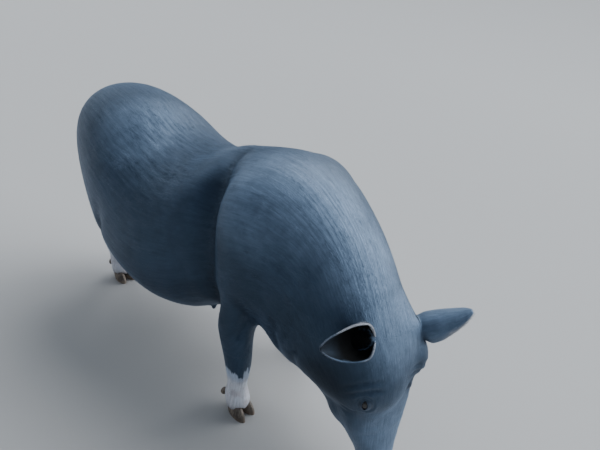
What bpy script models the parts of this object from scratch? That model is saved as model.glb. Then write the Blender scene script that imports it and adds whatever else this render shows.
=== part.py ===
"""A native black sow at life size, standing with her head lowered to feed.

Units are metres. +X points from tail to snout, +Y to the sow's left, +Z up.
The claws stand on z = 0, and the origin is under the middle of the animal.
The body is made whole, as one skin over trunk, head, legs and fat pads, then
thinned, given its lids, mouth, nostrils and teats, and parted with thin cuts.
"""

import math

import bmesh
import bpy
import numpy as np
from mathutils import Euler, Matrix, Vector
from mathutils.bvhtree import BVHTree

# Gap that touching pieces keep, the shortest edge, and how far forward the origin lies
# in the modelling frame
GAP = 0.0003
TINY = 0.00001
ORIGIN_X = 0.0535

# One skin: voxel size, rounds of smoothing, and the share of faces kept in the thinned body
SKIN_VOXEL = 0.005
SMOOTH_ROUNDS = 14
KEPT_SHARE = 0.033
BODY_SIDES = 36
LEG_SIDES = 20
ROUND = 2.0

# Trunk and neck sections from the rump to the poll: x, y, z of the widest level,
# tilt and yaw in degrees, rise to the back, drop to the belly, half width, squareness
TRUNK = (
    (-0.458, 0.000, 0.455, 0, 0, 0.030, 0.040, 0.030, 2.1),
    (-0.446, 0.000, 0.450, 0, 0, 0.060, 0.078, 0.070, 2.1),
    (-0.418, 0.000, 0.436, 0, 0, 0.103, 0.112, 0.110, 2.1),
    (-0.374, 0.000, 0.420, 0, 0, 0.140, 0.142, 0.140, 2.1),
    (-0.306, 0.000, 0.390, 0, 0, 0.176, 0.180, 0.169, 2.1),
    (-0.220, 0.000, 0.345, 0, 0, 0.203, 0.206, 0.196, 2.1),
    (-0.130, 0.000, 0.305, 0, 0, 0.203, 0.192, 0.213, 2.1),
    (-0.030, 0.000, 0.292, 0, 0, 0.208, 0.187, 0.216, 2.1),
    (0.050, 0.000, 0.302, 0, 0, 0.230, 0.180, 0.197, 2.2),
    (0.100, 0.000, 0.325, 0, 0, 0.226, 0.172, 0.174, 2.3),
    (0.145, -0.003, 0.345, 0, 0, 0.215, 0.160, 0.165, 2.4),
    (0.200, -0.008, 0.362, 0, 0, 0.208, 0.148, 0.171, 2.5),
    (0.265, -0.014, 0.372, 5, -2, 0.191, 0.122, 0.163, 2.5),
    (0.330, -0.022, 0.352, 15, -5, 0.168, 0.150, 0.141, 2.4),
    (0.390, -0.036, 0.322, 30, -9, 0.142, 0.180, 0.121, 2.3),
    (0.440, -0.052, 0.286, 45, -13, 0.120, 0.172, 0.108, 2.2),
    (0.474, -0.060, 0.250, 56, -16, 0.102, 0.148, 0.092, 2.2),
    (0.502, -0.067, 0.212, 64, -18, 0.078, 0.118, 0.070, 2.2),
    (0.520, -0.072, 0.180, 68, -20, 0.040, 0.070, 0.036, 2.2),
)

# The head's own frame: origin at the poll, x down the face, y to her left, z out of the forehead
POLL = (0.534, -0.064, 0.362)
HEAD_TURN = (4.0, 72.0, -20.0)
# Head sections: x, z of the widest level, rise, drop, half width
HEAD = (
    (-0.060, -0.090, 0.060, 0.085, 0.062),
    (0.000, -0.095, 0.092, 0.120, 0.088),
    (0.045, -0.092, 0.096, 0.125, 0.092),
    (0.085, -0.080, 0.080, 0.117, 0.087),
    (0.120, -0.070, 0.056, 0.108, 0.080),
    (0.160, -0.064, 0.038, 0.096, 0.076),
    (0.200, -0.062, 0.031, 0.080, 0.064),
    (0.232, -0.061, 0.030, 0.062, 0.051),
    (0.256, -0.061, 0.031, 0.040, 0.041),
    (0.268, -0.061, 0.033, 0.036, 0.040),
    (0.273, -0.061, 0.030, 0.033, 0.037),
)
FACE_SQUARENESS = 2.3

# Leg sections from the top down, on the right: x, y, z, half length along x, half width
FORELEG = (
    (0.215, -0.095, 0.380, 0.075, 0.060),
    (0.212, -0.115, 0.290, 0.064, 0.055),
    (0.220, -0.132, 0.215, 0.046, 0.041),
    (0.238, -0.137, 0.155, 0.036, 0.032),
    (0.246, -0.138, 0.110, 0.029, 0.027),
    (0.248, -0.138, 0.076, 0.024, 0.023),
    (0.250, -0.138, 0.050, 0.029, 0.028),
    (0.258, -0.138, 0.028, 0.030, 0.030),
    (0.256, -0.138, 0.012, 0.025, 0.026),
)
HINDLEG = (
    (-0.290, -0.080, 0.400, 0.070, 0.065),
    (-0.268, -0.096, 0.300, 0.072, 0.058),
    (-0.280, -0.094, 0.225, 0.056, 0.045),
    (-0.318, -0.080, 0.165, 0.042, 0.034),
    (-0.338, -0.068, 0.124, 0.033, 0.028),
    (-0.334, -0.060, 0.082, 0.026, 0.024),
    (-0.327, -0.056, 0.052, 0.029, 0.028),
    (-0.320, -0.055, 0.028, 0.030, 0.030),
    (-0.322, -0.055, 0.012, 0.025, 0.026),
)
FORE_CLAWS = (0.268, -0.138)
HIND_CLAWS = (-0.310, -0.055)

# Fat pads and muscles: centre and half sizes, the y of each mirrored to the other side
SHOULDER = ((0.222, -0.072, 0.395), (0.125, 0.108, 0.160))
SHOULDER_TURN = (8, -14, 4)
HAM = ((-0.290, -0.082, 0.345), (0.080, 0.080, 0.120))
JOWL = ((0.070, -0.047, -0.140), (0.120, 0.059, 0.070))
JOWL_TURN = (0, -12, 6)
CHEEK = ((0.150, -0.033, -0.108), (0.076, 0.045, 0.047))
BROW_PAD = ((0.061, -0.063, -0.040), (0.046, 0.032, 0.036))
EAR_PAD = ((0.008, -0.054, -0.030), (0.028, 0.025, 0.020))
VULVA = ((-0.452, 0.000, 0.385), (0.022, 0.017, 0.026))

# Folds, on the right, mirrored to the left: path, then depth and width
SHOULDER_FOLD = ((0.095, -0.050, 0.548), (0.118, -0.125, 0.505), (0.134, -0.165, 0.430),
                 (0.148, -0.168, 0.345), (0.168, -0.150, 0.265), (0.190, -0.120, 0.225))
SHOULDER_FOLD_SIZE = (0.012, 0.022)
FLANK_FOLD = ((-0.175, -0.200, 0.330), (-0.190, -0.180, 0.250), (-0.205, -0.150, 0.190))
FLANK_FOLD_SIZE = (0.008, 0.020)
# and this one in the head's frame
JOWL_FOLD = ((-0.030, -0.098, -0.060), (-0.020, -0.105, -0.130), (0.020, -0.080, -0.205))
JOWL_FOLD_SIZE = (0.006, 0.013)

# Eyes, lids, mouth and nostrils in the head's frame
EYE = (0.112, -0.060, -0.024)
EYE_RADIUS = 0.0110
EYE_BULGE = 0.0016
LID_THICKNESS = 0.0022
EYE_OPENING = (0.0100, 0.0056, 0.0100)
MOUTH_LINE = (
    (0.300, -0.098),
    (0.250, -0.098),
    (0.215, -0.105),
    (0.180, -0.113),
    (0.158, -0.114),
    (0.142, -0.109),
)
MOUTH_OPENING = 0.0012
NOSTRIL = (0.274, -0.0135, -0.058)
NOSTRIL_SIZE = (0.016, 0.0055, 0.0075)

# Ears in the head's frame: root, the way they point and the way they open, the right one turned up
# to the front and the left one down the face
EARS = {
    "ear_right": ((-0.001, -0.049, -0.038), (-0.17, -0.92, 0.35), (-0.15, 0.38, 0.91)),
    "ear_left": ((0.001, 0.046, -0.044), (-0.22, 0.82, 0.54), (0.87, 0.26, -0.42)),
}
EAR_LENGTH = 0.124
EAR_THICKNESS = 0.0036
# How deep the root sinks into the head, over what share of the length, and where the plug that closes it
# sits and half its depth
EAR_SINK = 0.030
EAR_NECK = 0.24
EAR_PLUG = 0.014
EAR_PLUG_DEPTH = 0.007
# Rows along the ear: share of the length, width laid flat, half angle of the curl in degrees
EAR_ROWS = (
    (0.00, 0.128, 170),
    (0.10, 0.118, 168),
    (0.20, 0.113, 162),
    (0.32, 0.111, 112),
    (0.46, 0.098, 95),
    (0.62, 0.073, 75),
    (0.78, 0.052, 60),
    (0.91, 0.030, 44),
    (1.00, 0.008, 36),
)
EAR_COLUMNS = 10

# Claws and dewclaws: half sizes and places beside the middle of the foot
CLAW = (0.0270, 0.0118, 0.0300)
CLAW_APART = 0.0130
CLAW_SPLAY = 5.0
CLAW_LEAN = 0.40
DEWCLAW = (0.0075, 0.0065, 0.0125)
DEWCLAW_PLACE = (-0.0420, 0.0145, 0.0420)

# Tail: points of the midline with radii, and the locks of its tuft
TAIL = ((-0.436, 0.492, 0.0170), (-0.462, 0.488, 0.0150), (-0.484, 0.462, 0.0120), (-0.493, 0.420, 0.0095),
        (-0.490, 0.375, 0.0078), (-0.484, 0.335, 0.0062), (-0.482, 0.305, 0.0045))
TUFT_LOCKS = 10
TUFT_LENGTH = 0.062
TUFT_SEED = 4

# Teats: how far along the belly each pair sits, and the row's distance from the midline
TEAT_PAIRS = (-0.235, -0.160, -0.100, -0.040, 0.020, 0.080)
TEAT_ROW = 0.062
TEAT_RADIUS = 0.0062
TEAT_LENGTH = 0.0150

# Where the body is parted
LEG_CUTS = {
    "foreleg": ((0.166, 0.070), (0.340, 0.260), 0.205),
    "hindleg": ((-0.420, 0.008), (-0.268, 0.260), 0.160),
}
SOCK_HEIGHT = 0.074
RUMP_CUT = -0.200
SHOULDER_CUT = 0.118
NECK_CUT = ((0.298, 0.000, 0.370), (0.972, 0.000, -0.233))
HEAD_CUT = ((-0.035, 0.000, 0.000), (0.852, 0.000, 0.523))
SNOUT_CUT = 0.226
FAR = 3.0

# Finishes: colour and roughness
FINISHES = {
    "black_coat": ((0.022, 0.028, 0.042), 0.55),
    "white_sock": ((0.560, 0.480, 0.440), 0.70),
    "snout_skin": ((0.050, 0.048, 0.055), 0.50),
    "horn": ((0.150, 0.120, 0.095), 0.45),
    "eye": ((0.012, 0.008, 0.006), 0.08),
}


def remove_everything():
    for obj in list(bpy.data.objects):
        bpy.data.objects.remove(obj)


def collection(name):
    group = bpy.data.collections.new(name)
    bpy.context.scene.collection.children.link(group)
    return group


def new_object(name, bm, group="cutters"):
    """The bmesh as an object in the named collection."""
    mesh = bpy.data.meshes.new(name)
    bm.to_mesh(mesh)
    bm.free()
    obj = bpy.data.objects.new(name, mesh)
    bpy.data.collections[group].objects.link(obj)
    return obj


def turned(degrees):
    return Euler([math.radians(angle) for angle in degrees], "XYZ").to_matrix().to_4x4()


def head_frame():
    return Matrix.Translation(POLL) @ turned(HEAD_TURN)


def mirrored(point, side):
    """A place given on the right, on side -1 for right or +1 for left."""
    return Vector((point[0], -side * point[1], point[2]))


def smooth_rows(rows, steps):
    """Rows of numbers resampled along a Catmull-Rom curve through them."""
    rows = np.array(rows, float)
    padded = np.vstack([2 * rows[0] - rows[1], rows, 2 * rows[-1] - rows[-2]])
    found = []
    for i in range(len(rows) - 1):
        a, b, c, d = padded[i : i + 4]
        for t in np.linspace(0, 1, steps, endpoint=False):
            bend = (2 * a - 5 * b + 4 * c - d) * t**2 + (3 * b - a - 3 * c + d) * t**3
            found.append(0.5 * (2 * b + (c - a) * t + bend))
    found.append(rows[-1])
    return np.array(found).tolist()


def section(centre, side, up, half_width, rise, drop, power, sides):
    """One closed section: a superellipse with its own rise above and drop below its widest level."""
    points = []
    for angle in np.linspace(0, 2 * math.pi, sides, endpoint=False):
        c = math.cos(angle)
        s = math.sin(angle)
        across = math.copysign(abs(c) ** (2 / power), c) * half_width
        along = math.copysign(abs(s) ** (2 / power), s) * (rise if s > 0 else drop)
        points.append(Vector(centre) + Vector(side) * across + Vector(up) * along)
    return points


def loft(name, sections):
    """A closed mesh through a list of sections with the same number of points."""
    bm = bmesh.new()
    rings = [[bm.verts.new(point) for point in ring] for ring in sections]
    for a, b in zip(rings, rings[1:]):
        for i in range(len(a)):
            j = (i + 1) % len(a)
            bm.faces.new((a[i], a[j], b[j], b[i]))
    bm.faces.new(rings[0])
    bm.faces.new(rings[-1])
    bmesh.ops.recalc_face_normals(bm, faces=bm.faces)
    return new_object(name, bm)


def ball(name, place, radii, segments=32, rings=20):
    """An ellipsoid at a place, which may turn it."""
    bm = bmesh.new()
    matrix = place @ Matrix.Diagonal((*radii, 1))
    bmesh.ops.create_uvsphere(bm, u_segments=segments, v_segments=rings, radius=1.0, matrix=matrix)
    return new_object(name, bm)


def apply_modifiers(obj):
    graph = bpy.context.evaluated_depsgraph_get()
    obj.data = bpy.data.meshes.new_from_object(obj.evaluated_get(graph))
    obj.modifiers.clear()


def keep_largest(obj):
    """Drops every closed surface but the one with the most room in it."""
    bm = bmesh.new()
    bm.from_mesh(obj.data)
    waiting = set(bm.faces)
    pieces = []
    while waiting:
        piece = [waiting.pop()]
        for face in piece:
            for edge in face.edges:
                for other in edge.link_faces:
                    if other in waiting:
                        waiting.remove(other)
                        piece.append(other)
        room = abs(sum(face.normal.dot(face.calc_center_median()) * face.calc_area() for face in piece))
        pieces.append((room, piece))
    pieces.sort(key=lambda found: found[0], reverse=True)
    for _, piece in pieces[1:]:
        bmesh.ops.delete(bm, geom=piece, context="FACES")
    bmesh.ops.dissolve_degenerate(bm, dist=TINY, edges=bm.edges)
    bm.to_mesh(obj.data)
    bm.free()


def is_closed(obj):
    """Whether every edge has two faces."""
    bm = bmesh.new()
    bm.from_mesh(obj.data)
    closed = all(len(edge.link_faces) == 2 for edge in bm.edges)
    bm.free()
    return closed


def combine(obj, operation, others):
    """Joins the object with the others, cuts it by them or keeps what lies in them."""
    group = bpy.data.collections.new("operands")
    for other in others:
        group.objects.link(other)
    before = obj.data
    for solver in ("EXACT", "MANIFOLD"):
        obj.data = before
        modifier = obj.modifiers.new("combine", "BOOLEAN")
        modifier.operand_type = "COLLECTION"
        modifier.collection = group
        modifier.operation = operation
        modifier.solver = solver
        apply_modifiers(obj)
        keep_largest(obj)
        if is_closed(obj):
            break
    for other in others:
        bpy.data.objects.remove(other)
    bpy.data.collections.remove(group)


def copy_of(obj, name):
    twin = bpy.data.objects.new(name, obj.data.copy())
    bpy.data.collections["cutters"].objects.link(twin)
    return twin


def grown(obj, gap):
    """A copy of the object whose surface stands out by the gap."""
    twin = copy_of(obj, "grown")
    normals = [vertex.normal.copy() for vertex in twin.data.vertices]
    for vertex, normal in zip(twin.data.vertices, normals):
        vertex.co += normal * gap
    return twin


def half_space(point, normal):
    """A block that fills everything on the far side of a plane."""
    turn = Vector(normal).to_track_quat("Z", "Y").to_matrix().to_4x4()
    bm = bmesh.new()
    place = Matrix.Translation(point) @ turn @ Matrix.Translation((0, 0, FAR / 2))
    bmesh.ops.create_cube(bm, size=FAR, matrix=place)
    return new_object("half_space", bm)


def block(low, high):
    bm = bmesh.new()
    low = Vector(low)
    high = Vector(high)
    place = Matrix.Translation((low + high) / 2) @ Matrix.Diagonal((*(high - low), 1))
    bmesh.ops.create_cube(bm, size=1, matrix=place)
    return new_object("block", bm)


def split(obj, name, point, normal):
    """Parts the object at a plane, and gives the far side as a new piece."""
    front = copy_of(obj, name)
    step = Vector(normal).normalized() * GAP / 2
    combine(front, "INTERSECT", [half_space(Vector(point) + step, normal)])
    combine(obj, "DIFFERENCE", [half_space(Vector(point) - step, normal)])
    return front


def split_block(obj, name, low, high):
    """Parts what lies in a block from the object."""
    piece = copy_of(obj, name)
    combine(piece, "INTERSECT", [block(low, high)])
    edge = Vector((GAP, GAP, GAP))
    combine(obj, "DIFFERENCE", [block(Vector(low) - edge, Vector(high) + edge)])
    return piece


def prism(name, outline, place, half_width):
    """A flat outline in the x and z of a frame, drawn out along its y to both sides."""
    bm = bmesh.new()
    face = bm.faces.new([bm.verts.new((x, -half_width, z)) for x, z in outline])
    grown_up = bmesh.ops.extrude_face_region(bm, geom=[face])["geom"]
    moved = [item for item in grown_up if isinstance(item, bmesh.types.BMVert)]
    bmesh.ops.translate(bm, vec=(0, 2 * half_width, 0), verts=moved)
    bmesh.ops.recalc_face_normals(bm, faces=bm.faces)
    bmesh.ops.transform(bm, matrix=place, verts=bm.verts)
    return new_object(name, bm)


def trunk():
    rings = []
    for x, y, z, tilt, yaw, rise, drop, half_width, power in smooth_rows(TRUNK, 5):
        turn = turned((0, tilt, yaw))
        across = turn.col[1].xyz
        up = turn.col[2].xyz
        rings.append(section((x, y, z), across, up, half_width, rise, drop, power, BODY_SIDES))
    return loft("trunk", rings)


def skull():
    place = head_frame()
    across = place.col[1].xyz
    up = place.col[2].xyz
    rings = []
    for x, z, rise, drop, half_width in smooth_rows(HEAD, 5):
        centre = place @ Vector((x, 0, z))
        rings.append(section(centre, across, up, half_width, rise, drop, FACE_SQUARENESS, BODY_SIDES))
    return loft("skull", rings)


def leg(rows, side):
    rings = []
    for x, y, z, half_length, half_width in smooth_rows(rows, 4):
        centre = mirrored((x, y, z), side)
        size = (half_width, half_length, half_length)
        rings.append(section(centre, (0, 1, 0), (1, 0, 0), *size, ROUND, LEG_SIDES))
    return loft("leg", rings)


def pad(shape, side, turn=(0, 0, 0), frame=Matrix(), segments=32):
    """A muscle or fat pad, which merges with what it lies in."""
    centre, radii = shape
    angles = (-side * turn[0], turn[1], -side * turn[2])
    place = frame @ Matrix.Translation(mirrored(centre, side)) @ turned(angles)
    return ball("pad", place, radii, segments, segments // 2)


def places(mesh):
    found = np.empty(len(mesh.vertices) * 3)
    mesh.vertices.foreach_get("co", found)
    return found.reshape(-1, 3)


def in_frame(points, frame):
    """Places measured in a frame."""
    back = np.array(frame.inverted())
    return points @ back[:3, :3].T + back[:3, 3]


def ramp(values, start, end):
    """0 at the start, 1 at the end and smooth between."""
    t = np.clip((values - start) / (end - start), 0, 1)
    return t * t * (3 - 2 * t)


def fineness(points):
    """1 on the face and feet, which keep their detail, down to 0 on the trunk."""
    face = ramp(in_frame(points, head_frame())[:, 0], 0.00, 0.12) * ramp(points[:, 0], 0.36, 0.42)
    feet = ramp(-points[:, 2], -0.16, -0.07) * ((np.abs(points[:, 1]) > 0.06) | (points[:, 0] < -0.27))
    return np.maximum(face, feet * (points[:, 0] < 0.36))


def weigh(obj, name, weights, steps=8):
    """A vertex group with the weights, in a few levels."""
    group = obj.vertex_groups.new(name=name)
    levels = np.round(weights * steps).astype(int)
    for level in range(1, steps + 1):
        group.add(np.flatnonzero(levels == level).tolist(), level / steps, "REPLACE")


def one_skin():
    """The whole body under one smooth skin."""
    frame = head_frame()
    pieces = [trunk(), skull(), pad(VULVA, -1)]
    for side in (-1, 1):
        pieces += [leg(FORELEG, side), leg(HINDLEG, side)]
        pieces.append(pad(SHOULDER, side, SHOULDER_TURN))
        pieces.append(pad(HAM, side))
        pieces.append(pad(JOWL, side, JOWL_TURN, frame))
        pieces.append(pad(CHEEK, side, (0, 0, 0), frame))
        pieces.append(pad(BROW_PAD, side, (0, 0, 0), frame))
        pieces.append(pad(EAR_PAD, side, (0, 0, 0), frame))
    bm = bmesh.new()
    for piece in pieces:
        bm.from_mesh(piece.data)
        bpy.data.objects.remove(piece)
    body = new_object("body", bm)
    remesh = body.modifiers.new("one_skin", "REMESH")
    remesh.mode = "VOXEL"
    remesh.voxel_size = SKIN_VOXEL
    apply_modifiers(body)
    keep_largest(body)
    fine = fineness(places(body.data))
    weigh(body, "soft", 1 - 0.72 * fine)
    soften = body.modifiers.new("soften", "SMOOTH")
    soften.factor = 0.5
    soften.iterations = SMOOTH_ROUNDS
    soften.vertex_group = "soft"
    apply_modifiers(body)
    return body


def distance_to(points, path):
    """How far each place is from a path."""
    best = np.full(len(points), np.inf)
    for a, b in zip(path, path[1:]):
        along = b - a
        share = np.clip((points - a) @ along / (along @ along), 0, 1)
        best = np.minimum(best, np.linalg.norm(points - a - share[:, None] * along, axis=1))
    return best


def press(body, path, size, frame=Matrix()):
    """Presses a fold into the skin along a path, on both sides."""
    depth, width = size
    mesh = body.data
    points = places(mesh)
    normals = np.empty(len(mesh.vertices) * 3)
    mesh.vertex_normals.foreach_get("vector", normals)
    moved = np.zeros(len(points))
    for side in (-1, 1):
        route = [np.array(frame @ mirrored(point, side)) for point in path]
        moved += depth * np.exp(-((distance_to(points, route) / width) ** 2))
    points -= normals.reshape(-1, 3) * moved[:, None]
    mesh.vertices.foreach_set("co", points.ravel())
    mesh.update()


def thin_out(body):
    """Keeps few faces, and fewest where the shape bends least."""
    thin = body.modifiers.new("thin_out", "DECIMATE")
    thin.ratio = KEPT_SHARE
    apply_modifiers(body)


def skin_point(tree, start, direction):
    """Where a ray from the start first meets the skin, and the way the skin faces there."""
    place, normal, _, _ = tree.ray_cast(Vector(start), Vector(direction))
    return place, normal


def tree_of(obj):
    return BVHTree.FromObject(obj, bpy.context.evaluated_depsgraph_get())


def add_teats(body):
    tree = tree_of(body)
    teats = []
    for x in TEAT_PAIRS:
        for side in (-1, 1):
            place, normal = skin_point(tree, (x, side * TEAT_ROW, 0), (0, 0, 1))
            turn = normal.to_track_quat("Z", "Y").to_matrix().to_4x4()
            middle = Matrix.Translation(place + normal * TEAT_LENGTH * 0.2) @ turn
            bm = bmesh.new()
            bmesh.ops.create_cone(bm, segments=8, cap_ends=True, radius1=TEAT_RADIUS * 1.2,
                                  radius2=TEAT_RADIUS * 0.7, depth=TEAT_LENGTH * 1.5, matrix=middle)
            teats.append(new_object("teat", bm))
    combine(body, "UNION", teats)


def eye_frame(tree, side):
    """The middle of the eyeball, with z out of the eye and x along the slit between the lids."""
    frame = head_frame()
    start = frame @ mirrored((EYE[0] + 0.02, EYE[1] * 2, EYE[2] + 0.06), side)
    aim = frame @ mirrored((EYE[0], EYE[1] * 0.5, EYE[2] - 0.01), side)
    place, normal = skin_point(tree, start, aim - start)
    centre = place - normal * (EYE_RADIUS - EYE_BULGE)
    slit = frame.to_3x3() @ mirrored((1.0, -0.10, -0.12), side)
    slit = (slit - normal * slit.dot(normal)).normalized()
    up = normal.cross(slit)
    turn = Matrix((slit, up, normal)).transposed().to_4x4()
    return Matrix.Translation(centre) @ turn


def make_eyes(body):
    """Gives the body its lids and sockets, and returns the two eyeballs."""
    tree = tree_of(body)
    frames = [eye_frame(tree, side) for side in (-1, 1)]
    lid = EYE_RADIUS + GAP + LID_THICKNESS
    combine(body, "UNION", [ball("lid", frame, (lid, lid, lid), 16, 10) for frame in frames])
    cuts = []
    for frame in frames:
        out = frame @ Matrix.Translation((0, 0, EYE_RADIUS))
        cuts.append(ball("opening", out, EYE_OPENING, 12, 8))
    combine(body, "DIFFERENCE", cuts)
    socket = EYE_RADIUS + GAP
    combine(body, "DIFFERENCE", [ball("socket", frame, (socket, socket, socket), 14, 8) for frame in frames])
    eyes = []
    for name, frame in zip(("eye_right", "eye_left"), frames):
        eyes.append(ball(name, frame, (EYE_RADIUS, EYE_RADIUS, EYE_RADIUS), 14, 8))
    return eyes


def cut_nostrils(body):
    frame = head_frame()
    cuts = [pad((NOSTRIL, NOSTRIL_SIZE), side, (20, 0, 0), frame, 12) for side in (-1, 1)]
    combine(body, "DIFFERENCE", cuts)


def part_jaw(head):
    """Opens the mouth line and parts the lower jaw behind its corner."""
    frame = head_frame()
    corner = MOUTH_LINE[-1][0]
    start = MOUTH_LINE[0][0]
    far = ((corner, -FAR), (start, -FAR))
    upper = [(x, z + MOUTH_OPENING / 2) for x, z in MOUTH_LINE]
    lower = [(x, z - MOUTH_OPENING / 2) for x, z in MOUTH_LINE]
    jaw = copy_of(head, "lower_jaw")
    combine(jaw, "INTERSECT", [prism("jaw", lower + list(far), frame, 0.2)])
    behind = (upper[-1][0] - GAP, upper[-1][1])
    cut = upper[:-1] + [behind, (behind[0], -FAR), (start, -FAR)]
    combine(head, "DIFFERENCE", [prism("jaw", cut, frame, 0.2)])
    return jaw


def ear(name):
    """A cupped ear: a sheet curled round its length, thickened, and closed near its root."""
    root, along, opens = (Vector(row) for row in EARS[name])
    along.normalize()
    opens = (opens - along * opens.dot(along)).normalized()
    across = along.cross(opens)
    rows = smooth_rows(EAR_ROWS, 2)
    bm = bmesh.new()
    bmesh.ops.create_grid(bm, x_segments=EAR_COLUMNS, y_segments=len(rows) - 1, size=0.5)
    for vertex in bm.verts:
        share, width, curl = rows[round((vertex.co.y + 0.5) * (len(rows) - 1))]
        half_angle = math.radians(curl)
        radius = width / (2 * half_angle)
        angle = 2 * vertex.co.x * half_angle
        sink = EAR_SINK * max(0, 1 - share / EAR_NECK) ** 2
        back = root + along * share * EAR_LENGTH - opens * sink
        vertex.co = back + opens * radius * (1 - math.cos(angle)) + across * radius * math.sin(angle)
    bmesh.ops.recalc_face_normals(bm, faces=bm.faces)
    bmesh.ops.transform(bm, matrix=head_frame(), verts=bm.verts)
    sheet = new_object(name, bm)
    thicken = sheet.modifiers.new("thickness", "SOLIDIFY")
    thicken.thickness = EAR_THICKNESS
    thicken.offset = 0
    thicken.use_even_offset = True
    apply_modifiers(sheet)
    radius = EAR_ROWS[0][1] / (2 * math.radians(EAR_ROWS[0][2]))
    sink = EAR_SINK * (1 - EAR_PLUG / EAR_LENGTH / EAR_NECK) ** 2
    turn = Matrix((across, opens, along)).transposed().to_4x4()
    stem = Matrix.Translation(root + along * EAR_PLUG + opens * (radius - sink)) @ turn
    size = (radius * 1.1, radius * 1.1, EAR_PLUG_DEPTH)
    combine(sheet, "UNION", [ball("plug", head_frame() @ stem, size, 16, 8)])
    return sheet


def clear_of(piece, neighbour):
    """Cuts the piece back from its neighbour, by a little more than the gap because corners grow less."""
    combine(piece, "DIFFERENCE", [grown(neighbour, 1.5 * GAP)])


def tail():
    curve = bpy.data.curves.new("tail", "CURVE")
    curve.dimensions = "3D"
    curve.bevel_depth = 1.0
    curve.bevel_resolution = 2
    curve.use_fill_caps = True
    rows = smooth_rows(TAIL, 2)
    spline = curve.splines.new("POLY")
    spline.points.add(len(rows) - 1)
    for point, (x, z, radius) in zip(spline.points, rows):
        point.co = (x, 0, z, 1)
        point.radius = radius
    rope = bpy.data.objects.new("tail", curve)
    bpy.data.collections["cutters"].objects.link(rope)
    graph = bpy.context.evaluated_depsgraph_get()
    bm = bmesh.new()
    bm.from_mesh(bpy.data.meshes.new_from_object(rope.evaluated_get(graph)))
    bpy.data.objects.remove(rope)
    bmesh.ops.remove_doubles(bm, verts=bm.verts, dist=0.0001)
    bmesh.ops.recalc_face_normals(bm, faces=bm.faces)
    whole = new_object("tail", bm)
    combine(whole, "UNION", tuft_locks())
    return whole


def tuft_locks():
    """Flat tapered locks that fan out from the last stretch of the tail."""
    draw = np.random.default_rng(TUFT_SEED)
    x, z, _ = TAIL[-1]
    locks = []
    for i in range(TUFT_LOCKS):
        around = 2 * math.pi * i / TUFT_LOCKS
        side = Vector((math.cos(around), math.sin(around), 0))
        flat = Vector((-side.y, side.x, 0))
        length = TUFT_LENGTH * draw.uniform(0.75, 1.0)
        spread = draw.uniform(0.006, 0.012)
        start = Vector((x, 0, z + 0.030 - 0.004 * (i % 3)))
        rings = []
        for share, width in ((0.0, 0.0020), (0.3, 0.0042), (0.7, 0.0034), (1.0, 0.0008)):
            fall = Vector((0, 0, (length + 0.03) * share))
            centre = start + side * (0.0015 + spread * share**1.5) - fall
            rings.append(section(centre, flat, side, width, width * 0.45, width * 0.45, ROUND, 4))
        locks.append(loft("lock", rings))
    return locks


def claw(name, place, side, inner):
    """One half of the cloven hoof: a leaning half ellipsoid with a flat sole."""
    bm = bmesh.new()
    bmesh.ops.create_uvsphere(bm, u_segments=12, v_segments=8, radius=1.0, matrix=Matrix.Diagonal((*CLAW, 1)))
    for vertex in bm.verts:
        vertex.co.x -= vertex.co.z * CLAW_LEAN
        vertex.co.z += 0.007
    plane = bmesh.ops.bisect_plane(bm, geom=bm.verts[:] + bm.edges[:] + bm.faces[:], plane_co=(0, 0, 0),
                                   plane_no=(0, 0, -1), clear_outer=True)
    rim = [item for item in plane["geom_cut"] if isinstance(item, bmesh.types.BMEdge)]
    bmesh.ops.edgeloop_fill(bm, edges=rim)
    bmesh.ops.recalc_face_normals(bm, faces=bm.faces)
    outward = -inner * side
    x, y = place
    spot = Matrix.Translation((x, -side * y - side * inner * CLAW_APART, 0))
    bmesh.ops.transform(bm, matrix=spot @ turned((0, 0, outward * CLAW_SPLAY)), verts=bm.verts)
    return new_object(name, bm)


def dewclaw(name, place, side, inner):
    x, y = place
    back, apart, height = DEWCLAW_PLACE
    spot = Matrix.Translation((x + back, -side * y - side * inner * apart, height))
    return ball(name, spot @ turned((0, 24, 0)), DEWCLAW, 8, 6)


def make_hoof(foot, kind, side_name, place, side):
    """The claws and dewclaws of a foot, with the foot cut clear of the claws."""
    pieces = []
    claws = []
    for inner, which in ((1, "inner"), (-1, "outer")):
        claws.append(claw(f"claw_{kind}_{side_name}_{which}", place, side, inner))
        pieces.append(dewclaw(f"dewclaw_{kind}_{side_name}_{which}", place, side, inner))
    for piece in pieces:
        clear_of(piece, foot)
    combine(foot, "DIFFERENCE", [grown(hoof, GAP) for hoof in claws])
    return claws + pieces


def paint(obj, finish):
    material = bpy.data.materials.get(finish)
    if material is None:
        colour, roughness = FINISHES[finish]
        material = bpy.data.materials.new(finish)
        material.use_nodes = True
        shader = material.node_tree.nodes["Principled BSDF"]
        shader.inputs["Base Color"].default_value = (*colour, 1)
        shader.inputs["Roughness"].default_value = roughness
        shader.inputs["Metallic"].default_value = 0.0
        material.diffuse_color = (*colour, 1)
    obj.data.materials.clear()
    obj.data.materials.append(material)


def finish_of(name):
    for word, finish in (("foot", "white_sock"), ("claw", "horn"), ("eye", "eye"), ("snout", "snout_skin")):
        if word in name:
            return finish
    return "black_coat"


def hand_over(pieces):
    """Puts the finished pieces in their collection, about the origin."""
    group = bpy.data.collections["sow"]
    for piece in pieces:
        bpy.data.collections["cutters"].objects.unlink(piece)
        group.objects.link(piece)
        piece.data.name = piece.name
        piece.data.transform(Matrix.Translation((-ORIGIN_X, 0, 0)))
        piece.vertex_groups.clear()
        paint(piece, finish_of(piece.name))
        piece.data.shade_smooth()
        piece.data.set_sharp_from_angle(angle=math.radians(50))


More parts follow.
